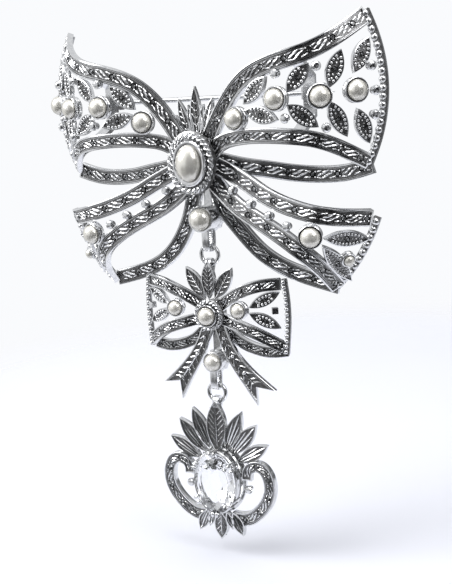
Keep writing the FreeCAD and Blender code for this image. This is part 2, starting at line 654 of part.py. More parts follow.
def pendant():
    """Every piece of the pendant about the crystal's centre."""
    pieces = {}
    half = (CRYSTAL[0] + 0.45, CRYSTAL[1] + 0.45)
    stone = crystal_stone()
    gallery = oval_ring(half, (CRYSTAL[0] - 0.5, CRYSTAL[1] - 0.5), -1.4, 1.9)
    gallery = gallery.cut(stone)
    prongs = []
    for degrees in (35, 90, 145, 215, 270, 325):
        turn = math.radians(degrees)
        x = (half[0] - 0.1) * math.cos(turn)
        z = (half[1] - 0.1) * math.sin(turn)
        prong = Part.makeCylinder(0.5, 3.2, V(x, -2.6, z), V(0, 1, 0))
        tip = Part.makeSphere(0.5, V(x, -2.6, z))
        prongs.append(prong.fuse(tip).cut(stone))
    setting = gallery
    for prong in prongs:
        setting = setting.fuse(prong)
    setting = setting.removeSplitter()
    scroll = trimmed(scroll_band(), [oval(half, -3, 3)])
    bead = trimmed(place(bead_post(0.9, 0.6), V(7.5, 1.2, -1.6), V(0, -1, 0)), [scroll, gallery])
    tall = leaf((0, 0.6, 6.4), (0, 0.2, 18.6), 4.8, 1.2)
    blades = []
    for tip, width, step in (((6.0, 16.3), 3.5, 0.0), ((9.5, 13.5), 3.5, 0.1), ((12.1, 9.1), 3.3, 0.2)):
        lean = math.atan2(tip[0], tip[1])
        foot = (5.6 * math.sin(lean), 0.7 + step, 7.4 * math.cos(lean))
        blade = leaf(foot, (tip[0], 0.4 + step, tip[1]), width, 1.1)
        blades.append(trimmed(blade, [tall, scroll] + blades))
    fan = [tall] + both_sides(blades)
    drop_leaf = leaf((0, 0.6, -7.2), (0, 0.4, -14.1), 3.5, 1.1)
    drop_leaf = trimmed(drop_leaf, both_sides([scroll]))
    blades = []
    for tip_x, tip_z, width in ((5.5, -12.6, 2.8), (2.9, -11.4, 1.9)):
        blade = leaf((tip_x * 0.55, 0.6, -7.2), (tip_x, 0.4, tip_z), width, 1.1)
        blades.append(trimmed(blade, [drop_leaf, scroll] + blades))
    lower = [drop_leaf] + both_sides(blades)
    plate_half = (half[0] + 0.6, half[1] + 0.6)
    plate = oval_ring(plate_half, (3.6, 5.6), 1.9, 2.6)
    outside = both_sides([scroll]) + fan + lower
    plate = trimmed(plate, outside)
    seat = oval(half, -1.4, 1.9)
    fan = [trimmed(s, [seat]) for s in fan]
    lower = [trimmed(s, [seat]) for s in lower]
    eye_y = CHAIN_Y - PENDANT_Y
    eye = hanger(eye_y, PENDANT_EYE_TOP, EYE_H)
    stalk = Part.makeBox(1.3, 0.9, PENDANT_EYE_TOP - EYE_H - 12.0, V(-0.65, eye.BoundBox.YMin + 1.45, 12.0))
    eye = trimmed(eye.fuse(stalk), fan)
    pieces["pendant_fan_leaves"] = group(fan)
    pieces["pendant_left_scroll"] = group([mirrored(scroll)])
    pieces["pendant_right_scroll"] = group([scroll])
    pieces["pendant_scroll_beads"] = group(both_sides([bead]))
    pieces["pendant_lower_leaves"] = group(lower)
    pieces["pendant_back_plate"] = group([plate])
    pieces["crystal_setting"] = group([setting])
    pieces["crystal"] = group([stone])
    pieces["pendant_eye"] = group([eye])
    return pieces


# Assembly ---------------------------------------------------------------------

def large_bow():
    """Every piece that is fixed to the large bow, the pin's moving parts included."""
    hub, ribbons = large_ribbons()
    rails = end_rails(ribbons)
    cups, pearls = cups_and_pearls()
    right = {**ribbons, **rails}
    walls = list(right.values()) + cups
    wing_leaves = large_leaves(wing, WING_LEAVES, walls)
    loop_leaves = large_leaves(loop, LOOP_LEAVES, walls)
    beads = large_beads(walls + wing_leaves + loop_leaves)
    cups = [trimmed(c, list(right.values())) for c in cups]
    pieces = {}
    for name, shape in right.items():
        pieces["left_" + name] = mirrored(shape)
        pieces["right_" + name] = shape
    pieces["left_wing_leaves"] = group([mirrored(s) for s in wing_leaves])
    pieces["right_wing_leaves"] = group(wing_leaves)
    pieces["loop_leaves"] = group(both_sides(loop_leaves))
    pieces["bow_pearl_cups"] = group(both_sides(cups))
    bowl, drop_pearl = drop_cup(DROP_PEARL_R, 0.6, 6.2, DROP_Z)
    back_walls = both_sides([ribbons["loop_back_ribbon"]])
    pieces["bow_pearls"] = group(both_sides(pearls) + [drop_pearl])
    pieces["bead_posts"] = group(both_sides(beads))
    pieces["leaf_fan"] = group(leaf_fan([hub] + both_sides(list(ribbons.values()))))
    pieces["bow_knot"] = hub
    rope, collar, cabochon = rosette(CABOCHON, 0.9, 1.6, HUB_FRONT, 2.6)
    pieces["rope_bezel"] = rope
    pieces["pearl_collar"] = collar
    pieces["centre_cabochon"] = cabochon
    bridge_walls = list(ribbons.values()) + wing_leaves + cups
    right_bridge = pin_bridge(CATCH_X, bridge_walls)
    pieces["right_pin_bridge"] = right_bridge
    pieces["left_pin_bridge"] = mirrored(right_bridge)
    pieces["pin_joint"], pieces["hinge_rivet"], pieces["pin_stem"] = hinge_parts()
    pieces["catch_body"], pieces["catch_barrel"] = catch_parts()
    strap = bail(CHAIN_Y, DROP_Z - DROP_PEARL_R - CUP_WALL + BAIL_LAP, BAIL_H, BAIL_D)
    neck = Part.makeBox(NECK_W, 0.9, NECK_LENGTH, V(-NECK_W / 2, HUB_BACK, -NECK_LENGTH))
    pieces["drop_cup"] = trimmed(bowl, back_walls)
    pieces["drop_bail"] = group([trimmed(strap, [bowl]), trimmed(neck, [hub, bowl] + back_walls)])
    return pieces


def assembly():
    """All pieces in place, about the large rosette."""
    pieces = large_bow()
    pieces["upper_jump_ring"] = jump_ring(CHAIN_Y, upper_ring_z())
    pieces["lower_jump_ring"] = jump_ring(CHAIN_Y, lower_ring_z())
    for name, shape in small_bow().items():
        pieces[name] = shape.translated(V(0, SMALL_Y, small_z()))
    for name, shape in pendant().items():
        pieces[name] = shape.translated(V(0, PENDANT_Y, pendant_z()))
    return pieces


os.makedirs("parts", exist_ok=True)
for node, shape in assembly().items():
    moved = shape.translated(V(0, -STEM_Y, -STEM_Z))
    moved.exportStep("parts/" + node + ".step")
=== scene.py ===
"""Double-bow drop brooch: cast ribbons, grain-set leaves, half-pearls and an oval crystal.

Pieces are drawn in millimetres. A flat drawing has X along the piece, Y across it and Z out of its
face, and is then laid along a ribbon's route or stood on its seat. The three stages, the large bow,
the small bow and the pendant, each have an origin that is worked out from the frame.
"""
import bmesh
import bpy
import math
import numpy as np
from mathutils import Matrix, Vector


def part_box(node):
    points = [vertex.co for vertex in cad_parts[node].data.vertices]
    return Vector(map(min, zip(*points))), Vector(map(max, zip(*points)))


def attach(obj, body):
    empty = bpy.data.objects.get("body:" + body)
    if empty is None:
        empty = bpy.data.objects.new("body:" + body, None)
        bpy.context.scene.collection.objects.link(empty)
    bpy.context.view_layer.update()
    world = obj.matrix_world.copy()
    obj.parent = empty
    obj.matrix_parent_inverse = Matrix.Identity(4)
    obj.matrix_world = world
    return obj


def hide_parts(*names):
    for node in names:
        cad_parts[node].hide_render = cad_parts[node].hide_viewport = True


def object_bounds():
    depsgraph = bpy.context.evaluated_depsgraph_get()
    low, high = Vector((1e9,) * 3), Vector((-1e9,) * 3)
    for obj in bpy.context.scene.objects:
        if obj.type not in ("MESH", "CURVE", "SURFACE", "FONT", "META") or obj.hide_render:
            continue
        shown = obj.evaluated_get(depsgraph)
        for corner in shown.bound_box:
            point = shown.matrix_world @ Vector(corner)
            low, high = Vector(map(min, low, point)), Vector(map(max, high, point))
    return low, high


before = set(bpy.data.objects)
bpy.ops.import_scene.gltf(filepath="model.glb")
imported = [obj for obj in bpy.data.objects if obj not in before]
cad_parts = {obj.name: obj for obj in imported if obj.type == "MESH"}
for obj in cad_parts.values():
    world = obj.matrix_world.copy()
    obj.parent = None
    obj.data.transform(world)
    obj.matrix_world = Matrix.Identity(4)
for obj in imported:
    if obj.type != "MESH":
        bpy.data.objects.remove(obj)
cad_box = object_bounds()

MM = 0.001
STONE = 1                 # material slot of the stones on a piece, after its metal
FRONT = Vector((0, -1, 0))
X_AXIS = Vector((1, 0, 0))

# Sizes shared with the pieces of the frame
DROP_PEARL_R = 2.45
PEARL_R = 2.1
SMALL_PEARL_R = 1.6
MID_PEARL_R = 1.95
TINY_PEARL_R = 1.2
CABOCHON = (3.0, 4.0)
COLLAR = (3.9, 4.9)
CRYSTAL = (5.0, 7.0)
CUP_WALL = 0.35
RIBBON_W = 3.5
LOWER_RIBBON_W = 3.1
RIBBON_T = 1.3
SMALL_RIBBON_W = 2.6
TAIL_W, TAIL_END_W = 2.6, 5.8
SCROLL_W, SCROLL_END_W = 3.3, 2.3
LEAF_W, SMALL_LEAF_W, CROWN_LEAF_W = 3.4, 2.6, 3.3
SMALL_RIBBON_T = 1.0
HUB_FRONT = -0.7
WING_HALF, WING_LEVEL, WING_BULGE = 39.1, 13.3, 0.016
LOOP_REACH = 39.5
WING_BACK = 8.4
SMALL_WING_REACH = 17.0
STONE_PITCH, SMALL_STONE_PITCH, SCROLL_STONE_PITCH = 5.2, 3.9, 4.4
SLICE = 0.55              # length of the slices in which a ribbon bends
RAIL_SLICE = 0.5
MERGE = 0.0005            # points nearer than this are one
CREASE = 24               # degrees; sharper edges than this stay crisp
CUT_STONE_CREASE = 1


def corners(node):
    """Lowest and highest corner of a node of the frame, in millimetres."""
    low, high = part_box(node)
    return Vector(low) / MM, Vector(high) / MM


def seat_of(node, back_depth):
    """Origin of a stage: the middle of one node, back_depth in front of its rear face."""
    low, high = corners(node)
    return Vector(((low.x + high.x) / 2, high.y - back_depth, (low.z + high.z) / 2))


BOW = seat_of("rope_bezel", HUB_FRONT)
SMALL = seat_of("small_rope_bezel", -0.5)
PENDANT = seat_of("crystal", 1.4)
STAGES = {"bow": BOW, "small_bow": SMALL, "pendant": PENDANT}
SIDES = ((1, "right"), (-1, "left"))


# Curved fronts ------------------------------------------------------------------------------

def wing_end(z):
    """How far out the bulging end of a wing lies at a height."""
    return WING_HALF - WING_BULGE * (z - WING_LEVEL) ** 2


def swell(s, start, crest, back, crest_at):
    """Depth of a puffed front at share s of its length."""
    if s < crest_at:
        return start + (crest - start) * (1 - math.cos(math.pi * s / crest_at)) / 2
    t = (s - crest_at) / (1 - crest_at)
    return crest + (back - crest) * t * t


def wing(x, z):
    """Depth of an upper wing's front."""
    return swell(abs(x) / wing_end(z), 0.0, -3.3, WING_BACK, 0.53)


def loop(x, z):
    """Depth of a lower loop's front."""
    return swell(math.hypot(x, z) / LOOP_REACH, 2.2, -1.6, 8.8, 0.68)


def small_wing(x, z):
    """Depth of the small bow's front."""
    return swell(abs(x) / SMALL_WING_REACH, 0.0, -1.6, 1.9, 0.5)


def within(value, low=0.0, high=1.0):
    return min(max(value, low), high)


def outward(front, x, z):
    """Normal of a front at (x, z), towards the viewer."""
    h = 0.05
    slope_x = (front(x + h, z) - front(x - h, z)) / (2 * h)
    slope_z = (front(x, z + h) - front(x, z - h)) / (2 * h)
    return Vector((slope_x, -1, slope_z)).normalized()


def on_front(front, x, z, lift=0.0):
    """The point of a front at (x, z), raised by lift."""
    return Vector((x, front(x, z), z)) + outward(front, x, z) * lift


class Route:
    """A smooth line through given points, with the way it faces all along it."""

    def __init__(self, points, front=None, steps=240):
        knots = [Vector(p) if len(p) == 3 else Vector((p[0], front(*p), p[1])) for p in points]
        spots = self.cubic(knots, steps)
        if front:
            for spot in spots:
                spot.y = front(spot.x, spot.z)
        self.rows = []
        distance = 0.0
        for i, spot in enumerate(spots):
            ahead = spots[min(i + 1, steps)]
            behind = spots[max(i - 1, 0)]
            if i:
                distance += (spot - spots[i - 1]).length
            along = (ahead - behind).normalized()
            face = outward(front, spot.x, spot.z) if front else FRONT
            face = (face - along * face.dot(along)).normalized()
            self.rows.append((distance, spot, along, face.cross(along), face))
        self.length = distance

    @staticmethod
    def cubic(knots, steps):
        """Points on the natural cubic through the knots."""
        reach = np.cumsum([0.0] + [(b - a).length for a, b in zip(knots, knots[1:])])
        gaps = np.diff(reach)
        values = np.array([list(k) for k in knots])
        count = len(knots)
        system = np.eye(count)
        wanted = np.zeros((count, 3))
        for i in range(1, count - 1):
            system[i, i - 1:i + 2] = gaps[i - 1], 2 * (gaps[i - 1] + gaps[i]), gaps[i]
            rise = (values[i + 1] - values[i]) / gaps[i] - (values[i] - values[i - 1]) / gaps[i - 1]
            wanted[i] = 6 * rise
        bend = np.linalg.solve(system, wanted)
        spots = []
        for u in np.linspace(0, reach[-1], steps + 1):
            i = min(int(np.searchsorted(reach, u, side="right")) - 1, count - 2)
            a, b, gap = reach[i + 1] - u, u - reach[i], gaps[i]
            spot = (bend[i] * a ** 3 + bend[i + 1] * b ** 3) / (6 * gap)
            spot = spot + (values[i] / gap - bend[i] * gap / 6) * a
            spot = spot + (values[i + 1] / gap - bend[i + 1] * gap / 6) * b
            spots.append(Vector(spot))
        return spots

    def edgewise(self):
        """Face the outside of the bend, for a strap that bends from front to back."""
        self.rows = [(far, spot, along, -X_AXIS, X_AXIS.cross(along))
                     for far, spot, along, _, _ in self.rows]
        return self

    def lay(self, drawing):
        """Bend a flat drawing along the route."""
        marks = [row[0] for row in self.rows]
        for vert in drawing.verts:
            x, y, z = vert.co
            i = within(int(np.searchsorted(marks, x)) - 1, 0, len(marks) - 2)
            t = (x - marks[i]) / (marks[i + 1] - marks[i])
            here, there = self.rows[i], self.rows[i + 1]
            spot = here[1].lerp(there[1], t)
            vert.co = spot + here[3].lerp(there[3], t) * y + here[4].lerp(there[4], t) * z
        return drawing


# Drawing --------------------------------------------------------------------------------------

def new_drawing():
    drawing = bmesh.new()
    drawing.verts.layers.float.new("hollow")
    return drawing


def cone(drawing, x, y, z, sizes, depth, sides, turn=0.0, closed=True):
    """A cone or tapered post, standing on its wider end."""
    return bmesh.ops.create_cone(drawing, cap_ends=closed, segments=sides, radius1=sizes[0],
                                 radius2=sizes[1], depth=depth, matrix=spot_matrix(x, y, z, turn))


def stone(drawing, x, y, z, sizes, depth):
    """A small faceted stone, in the second material slot."""
    for vert in cone(drawing, x, y, z, sizes, depth, 8, 22)["verts"]:
        for face in vert.link_faces:
            face.material_index = STONE


def spot_matrix(x, y, z, degrees=0.0):
    return Matrix.Translation((x, y, z)) @ Matrix.Rotation(math.radians(degrees), 4, "Z")


def grain(drawing, x, y, z, radius, level=1):
    """A small bead of metal."""
    bmesh.ops.create_icosphere(drawing, subdivisions=level, radius=radius, matrix=spot_matrix(x, y, z))


def stroke(drawing, x, y, z, length, width, height, degrees, sides=8, rings=6):
    """A raised engraved stroke, pointed at both ends."""
    matrix = spot_matrix(x, y, z, degrees) @ Matrix.Diagonal((length / 2, width / 2, height, 1))
    matrix = matrix @ Matrix.Rotation(math.pi / 2, 4, "Y")
    bmesh.ops.create_uvsphere(drawing, u_segments=sides, v_segments=rings, radius=1, matrix=matrix)


def round_stone(drawing, x, y, z, radius):
    """A small faceted stone in a ring, with a grain at each corner."""
    depth = radius * 0.7
    stone(drawing, x, y, z + depth / 2 + 0.06, (radius, radius * 0.5), depth)
    cone(drawing, x, y, z + 0.15, (radius * 1.35, radius * 1.1), 0.3, 12, closed=False)
    for quarter in range(4):
        turn = math.radians(45 + 90 * quarter)
        grain(drawing, x + radius * 1.2 * math.cos(turn), y + radius * 1.2 * math.sin(turn),
              z + 0.3, 0.2)


def weather(drawing, depth, back):
    """Record how deep each point lies below the face, for the antiquing."""
    hollow = drawing.verts.layers.float["hollow"]
    for vert in drawing.verts:
        deep = within(-vert.co.z / depth)
        vert[hollow] = 0.35 if vert.co.z < -back else deep


def darken(drawing, rule):
    """Set the hollows of a turned shape by a rule on (radius, height)."""
    hollow = drawing.verts.layers.float["hollow"]
    for vert in drawing.verts:
        vert[hollow] = rule(math.hypot(vert.co.x, vert.co.y), vert.co.z)


def stood(drawing, matrix):
    """Move a drawing to its seat."""
    bmesh.ops.transform(drawing, matrix=matrix, verts=drawing.verts)
    return drawing


def seat(spot, out, along=X_AXIS):
    """Matrix that stands a flat drawing on a spot, facing out, its X along."""
    out = out.normalized()
    side = (along - out * along.dot(out)).normalized()
    matrix = Matrix((side, out.cross(side), out)).transposed().to_4x4()
    matrix.translation = spot
    return matrix


def gather(drawings, sides=(1,)):
    """Join drawings, mirrored to the left where -1 is among the sides."""
    whole = new_drawing()
    sheet = bpy.data.meshes.new("sheet")
    for drawing in drawings:
        for side in sides:
            copy = drawing.copy()
            if side < 0:
                bmesh.ops.scale(copy, vec=(-1, 1, 1), verts=copy.verts)
                bmesh.ops.reverse_faces(copy, faces=copy.faces)
            copy.to_mesh(sheet)
            whole.from_mesh(sheet)
            copy.free()
        drawing.free()
    bpy.data.meshes.remove(sheet)
    return whole


def finish_piece(node, word, drawing, body, finishes, crease=CREASE):
    """Turn a drawing into the piece that stands for a node and rides on a body of the frame."""
    origin = STAGES.get(body, Vector())
    for vert in drawing.verts:
        vert.co = (vert.co + origin) * MM
    mesh = bpy.data.meshes.new(node + word)
    for face in drawing.faces:
        face.smooth = True
    drawing.to_mesh(mesh)
    drawing.free()
    for finish in finishes:
        mesh.materials.append(finish)
    mesh.set_sharp_from_angle(angle=math.radians(crease))
    piece = bpy.data.objects.new(node + word, mesh)
    bpy.context.scene.collection.objects.link(piece)
    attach(piece, body)
    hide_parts(node)


def slab(length, width, thick, cuts, strips=0):
    """A bar along X with its face at Z = 0, cut across so that it can bend, and into strips."""
    drawing = new_drawing()
    bmesh.ops.create_cube(drawing, size=1)
    for axis, count in ((0, cuts), (1, strips)):
        edges = [e for e in drawing.edges if abs(e.verts[0].co[axis] - e.verts[1].co[axis]) > 0.5]
        if count:
            bmesh.ops.subdivide_edges(drawing, edges=edges, cuts=count, use_grid_fill=True)
    bmesh.ops.scale(drawing, vec=(length, width, thick), verts=drawing.verts)
    bmesh.ops.translate(drawing, vec=(length / 2, 0, -thick / 2), verts=drawing.verts)
    return drawing


def soften(drawing, edges, offset):
    """Round some edges."""
    bmesh.ops.bevel(drawing, geom=edges, offset=offset, segments=2, profile=0.5, affect="EDGES",
                    material=-1)


def sink_face(drawing, rim, dip):
    """Leave a raised rim round the front faces and sink what is inside it."""
    drawing.faces.ensure_lookup_table()
    bmesh.ops.recalc_face_normals(drawing, faces=drawing.faces)
    face = [f for f in drawing.faces if f.normal.z > 0.9]
    edge = [e for e in drawing.edges if len(e.link_faces) == 2
            and len([f for f in e.link_faces if f.normal.z > 0.9]) == 1]
    bmesh.ops.inset_region(drawing, faces=face, thickness=rim, depth=0, use_even_offset=True)
    bmesh.ops.inset_region(drawing, faces=face, thickness=0.08, depth=-dip, use_even_offset=True)
    soften(drawing, [e for e in edge if e.is_valid], rim * 0.35)


# Ribbons --------------------------------------------------------------------------------------

# Along, across, length, breadth and slant of the strokes between one stone and the next
ENGRAVED_LEAVES = ((1.25, 0.62, 1.3, 0.34, 12), (1.25, -0.62, 1.3, 0.34, -12), (1.9, 0.1, 2.3, 0.52, 20),
                   (2.55, -0.45, 1.9, 0.42, 24), (2.65, 0.58, 1.7, 0.4, 18), (3.3, 0.0, 2.2, 0.5, 22),
                   (3.95, -0.6, 1.3, 0.34, 10), (3.95, 0.62, 1.3, 0.34, -10))


def ribbon_drawing(length, width, thick, pitch, first, rim=0.36, dip=0.36):
    """A ribbon with doubled edges, engraved leaves and a stone at every pitch."""
    drawing = slab(length, width, thick, int(length / SLICE))
    sink_face(drawing, rim, dip)
    inner = width / 2 - rim
    for side in (1, -1):
        stroke(drawing, length / 2, side * (inner - 0.2), -dip, length * 0.98, 0.2, 0.24, 0,
               sides=6, rings=max(int(length / 0.8), 8))
    wide = inner / 1.3
    reach = pitch / 5.2
    start = first % pitch - pitch
    while start < length - 0.8:
        if 0.8 < start:
            round_stone(drawing, start, 0, -dip, min(0.62, inner * 0.5))
        for ahead, across, long, broad, lean in ENGRAVED_LEAVES:
            spot = start + ahead * reach
            if long / 2 < spot < length - long / 2:
                stroke(drawing, spot, across * wide, -dip, long * reach, broad * wide, 0.38, lean)
        start += pitch
    weather(drawing, dip, dip + 0.1)
    return drawing


LARGE_RIBBONS = {
    "_top_ribbon": ([(2.4, 3.2), (7.9, 11.9), (12.5, 16.3), (19.1, 19.0), (27.1, 21.2),
                    (32.0, 24.2), (35.4, 27.6)], wing, RIBBON_W, 6.4),
    "_lower_ribbon": ([(3.2, 2.0), (6.5, 4.0), (10.5, 4.9), (16.0, 5.2), (22.0, 4.9), (27.3, 4.0),
                      (31.0, 2.3), (35.3, -1.2)], wing, LOWER_RIBBON_W, 5.4),
    "_back_ribbon": ([(3.2, 3.2, 0.2), (8.5, 4.4, -1.2), (13.7, 5.6, -2.1), (18.0, 6.9, -2.9),
                     (24.0, 8.3, -3.5), (30.0, 8.9, -3.2), (35.3, 9.2, -1.8)],
                    None, RIBBON_W, 5.0),
    "_loop_top_ribbon": ([(3.2, -0.6), (10.3, -4.0), (15.1, -6.7), (22.0, -9.4), (29.1, -11.2),
                         (36.0, -12.3)], loop, RIBBON_W, 6.0),
    "_loop_bottom_ribbon": ([(2.6, -3.8), (8.8, -9.2), (13.9, -12.0), (18.7, -14.7), (23.4, -18.2),
                            (26.5, -22.2), (28.0, -27.0)], loop, RIBBON_W, 6.4),
    "_loop_back_ribbon": ([(2.2, 3.3, -3.8), (3.9, 4.2, -10.0), (6.7, 5.9, -14.9), (9.8, 7.0, -18.9),
                          (13.9, 8.0, -22.3), (20.0, 9.0, -25.0), (27.4, 9.4, -27.0)],
                         None, RIBBON_W, 5.6),
}


def large_ribbons():
    for name, (points, front, width, start) in LARGE_RIBBONS.items():
        for side, word in SIDES:
            route = Route(points, front)
            drawing = route.lay(ribbon_drawing(route.length, width, RIBBON_T, STONE_PITCH, start))
            finish_piece(word + name, "_engraved", gather([drawing], (side,)), "bow",
                         [antiqued, marcasite])


def beaded_rail(route, width, thick, bead, pitch):
    """A narrow rail with a row of round beads along its face."""
    length = route.length
    drawing = slab(length, width, thick, int(length / RAIL_SLICE))
    soften(drawing, [e for e in drawing.edges
                     if all(abs(v.co.y) > width * 0.4 and v.co.z > -0.1 for v in e.verts)], 0.15)
    bmesh.ops.translate(drawing, vec=(0, 0, -0.25), verts=drawing.verts)
    count = int(length / pitch)
    for i in range(count):
        grain(drawing, (i + 0.5) * length / count, 0.12, -0.18, bead, level=2)
    weather(drawing, 0.3, 0.5)
    return route.lay(drawing)


def end_rails():
    wing_points = [(wing_end(z) - 0.75, WING_BACK - 0.5, z)
                   for z in (-1.8, 3.0, 8.0, WING_LEVEL, 19.0, 24.0, 28.4)]
    loop_points = []
    for angle in (-18.6, -24.0, -30.0, -36.0, -41.0, -44.4):
        turn = math.radians(angle)
        loop_points.append(((LOOP_REACH - 1.2) * math.cos(turn), 7.9,
                            (LOOP_REACH - 1.2) * math.sin(turn)))
    for name, points in (("_wing_end_rail", wing_points), ("_loop_end_rail", loop_points)):
        for side, word in SIDES:
            drawing = gather([beaded_rail(Route(points), 1.45, RIBBON_T, 0.8, 1.62)], (side,))
            finish_piece(word + name, "_beaded", drawing, "bow", [antiqued])


# Leaves ---------------------------------------------------------------------------------------

def leaf_plate(length, width, thick, rim, dip, sides=36):
    """A pointed leaf-shaped plate from X = 0 to its length, with a sunk face."""
    drawing = new_drawing()
    bmesh.ops.create_cone(drawing, cap_ends=True, segments=sides, radius1=1, radius2=1, depth=1)
    for vert in drawing.verts:
        x, y, z = vert.co
        vert.co = (length * (x + 1) / 2, width / 2 * y * abs(y), (z - 0.5) * thick)
    bmesh.ops.recalc_face_normals(drawing, faces=drawing.faces)
    face = max(drawing.faces, key=lambda f: f.calc_center_median().z)
    for inset, level in ((rim, 0.0), (rim + 0.08, -dip)):
        bmesh.ops.inset_region(drawing, faces=[face], thickness=0.0)
        reach = max(v.co.x for v in face.verts) - length / 2
        wide = max(v.co.y for v in face.verts)
        for vert in face.verts:
            vert.co.x = length / 2 + (vert.co.x - length / 2) * (length / 2 - inset * 1.6) / reach
            vert.co.y *= (width / 2 - inset) / wide
            vert.co.z = level
    edge = [e for e in drawing.edges if min(v.co.z for v in e.verts) > -0.001
            and any(min(v.co.z for v in f.verts) < -thick * 0.9 for f in e.link_faces)]
    soften(drawing, edge, rim * 0.35)
    bmesh.ops.recalc_face_normals(drawing, faces=drawing.faces)
    return drawing


def half_width(length, width, x):
    """Half a leaf's width at x along it."""
    share = 2 * x / length - 1
    return width / 2 * (1 - share * share)


def grain_leaf(length, width):
    """A navette leaf: bright rim, dark floor, a stone in the middle and grains round it."""
    dip = 0.36
    drawing = leaf_plate(length, width, 1.1, 0.3, dip)
    stone(drawing, length / 2, 0, -dip + 0.32, (0.48, 0.24), 0.36)
    cone(drawing, length / 2, 0, -dip + 0.17, (0.66, 0.52), 0.34, 12, closed=False)
    pitch = 0.78
    steps = int((length / 2 - 1.3) / pitch) + 1
    for i in range(-steps, steps + 1):
        x = length / 2 + pitch * i
        room = half_width(length, width, x) - 0.5
        if room > 0.5:
            for side in (1, -1):
                grain(drawing, x, side * (room - 0.12), -dip + 0.1, 0.34, level=2)
        if abs(i) > 1 and room > 0.3:
            grain(drawing, x + pitch / 2 * (-1 if i > 0 else 1), 0, -dip + 0.02, 0.24)
    weather(drawing, dip, dip + 0.1)
    return drawing


def veined_leaf(length, width, thick=0.9, veins=5):
    """A leaf with a raised edge, a middle rib and slanting side veins on a dark floor."""
    dip = 0.32
    drawing = leaf_plate(length, width, thick, 0.26, dip)
    stroke(drawing, length * 0.48, 0, -dip, length * 0.86, 0.3, 0.34, 0, rings=12)
    for i in range(veins):
        x = length * (0.2 + 0.62 * i / veins)
        long = half_width(length, width, x + 0.4) * 1.25
        for side in (1, -1):
            stroke(drawing, x + long * 0.36, side * long * 0.34, -dip, long, 0.24, 0.26, side * 42)
    weather(drawing, dip, dip + 0.1)
    return drawing


def grooved_leaf(length, width, thick=1.0):
    """A blade with a raised edge and three long ridges that spread along it."""
    dip = 0.34
    drawing = leaf_plate(length, width, thick, 0.26, dip)
    stroke(drawing, length * 0.5, 0, -dip, length * 0.86, width * 0.16, 0.4, 0, rings=12)
    for side in (1, -1):
        stroke(drawing, length * 0.42, side * width * 0.19, -dip, length * 0.6, width * 0.1, 0.34,
               side * 4, rings=12)
    weather(drawing, dip, dip + 0.1)
    return drawing


def stood_leaf(drawing, start, end):
    """Stand a leaf between two points in space, facing the front."""
    start, end = Vector(start), Vector(end)
    return stood(drawing, seat(start, FRONT, end - start))


def surface_leaf(front, start, end, width):
    """A grain-set leaf laid on a curved front between two of its points."""
    a = on_front(front, *start)
    b = on_front(front, *end)
    middle = (a + b) / 2
    lift = max(0.0, (middle.y - front(middle.x, middle.z)) * 0.6)
    out = outward(front, middle.x, middle.z)
    return stood(grain_leaf((b - a).length, width), seat(a + out * lift, out, b - a))


WING_LEAVES = [((12.6, 11.4), (18.0, 16.6)), ((12.9, 10.3), (20.3, 8.1)),
               ((22.4, 13.3), (26.7, 18.7)), ((22.4, 11.0), (28.1, 6.4)),
               ((30.1, 13.7), (32.1, 21.0)), ((34.2, 16.4), (36.1, 23.2)),
               ((30.1, 11.4), (32.6, 4.2)), ((34.6, 9.6), (35.8, 2.6))]
LOOP_LEAVES = [((27.9, -15.6), (35.0, -16.4)), ((27.5, -17.0), (30.3, -25.4))]


def large_leaves():
    for side, word in SIDES:
        leaves = [surface_leaf(wing, a, b, LEAF_W) for a, b in WING_LEAVES]
        finish_piece(word + "_wing_leaves", "_grain_set", gather(leaves, (side,)), "bow",
                     [antiqued, marcasite])
    leaves = [surface_leaf(loop, a, b, LEAF_W) for a, b in LOOP_LEAVES]
    finish_piece("loop_leaves", "_grain_set", gather(leaves, (1, -1)), "bow", [antiqued, marcasite])


def leaf_fan():
    """The fan over the rosette: a veined leaf, two beside it, and blades between them."""
    leaves = [stood_leaf(veined_leaf(12.0, 2.6), (0, 1.2, 3.6), (0, 1.7, 15.6))]
    for degrees, length, width, veined in ((17.0, 13.8, 2.2, True), (8.5, 12.0, 1.3, False),
                                           (26.0, 11.0, 1.4, False)):
        turn = math.radians(degrees)
        for side in (1, -1):
            drawing = veined_leaf(length - 3.6, width) if veined else grooved_leaf(length - 3.6, width)
            leaves.append(stood_leaf(drawing, (side * 3.6 * math.sin(turn), 1.25, 3.6 * math.cos(turn)),
                                     (side * length * math.sin(turn), 1.75, length * math.cos(turn))))
    finish_piece("leaf_fan", "_veined", gather(leaves), "bow", [antiqued])


# Pearls and cups ------------------------------------------------------------------------------

def turned(profile, steps=40):
    """A shape spun about Z from a profile of (radius, height) points."""
    drawing = new_drawing()
    line = [drawing.verts.new((r, 0, z)) for r, z in profile]
    edges = [drawing.edges.new(pair) for pair in zip(line, line[1:])]
    bmesh.ops.spin(drawing, geom=line + edges, cent=(0, 0, 0), axis=(0, 0, 1),
                   angle=math.tau, steps=steps, use_merge=True)
    bmesh.ops.remove_doubles(drawing, verts=drawing.verts, dist=MERGE)
    bmesh.ops.recalc_face_normals(drawing, faces=drawing.faces)
    return drawing


def pearl_cup(radius, height, floor):
    """A bezel cup with a rounded lip, a groove under it and a closed back."""
    wall = radius + CUP_WALL
    seat_r = radius + 0.06
    profile = [(0, 0), (wall - 0.15, 0), (wall, 0.15), (wall, height * 0.45), (wall - 0.12, height * 0.55),
               (wall, height * 0.68), (wall + 0.02, height - 0.1), (wall - 0.08, height),
               (seat_r + 0.05, height), (seat_r, height - 0.12), (seat_r, height - 0.5),
               (radius - 0.1, height - 0.5), (radius - 0.1, floor), (0, floor)]
    drawing = turned(profile)
    darken(drawing, lambda r, z: 1.0 if r < seat_r + 0.02 and z > 0.1
           else 0.7 if abs(z - height * 0.55) < 0.05 else 0.0)
    return drawing


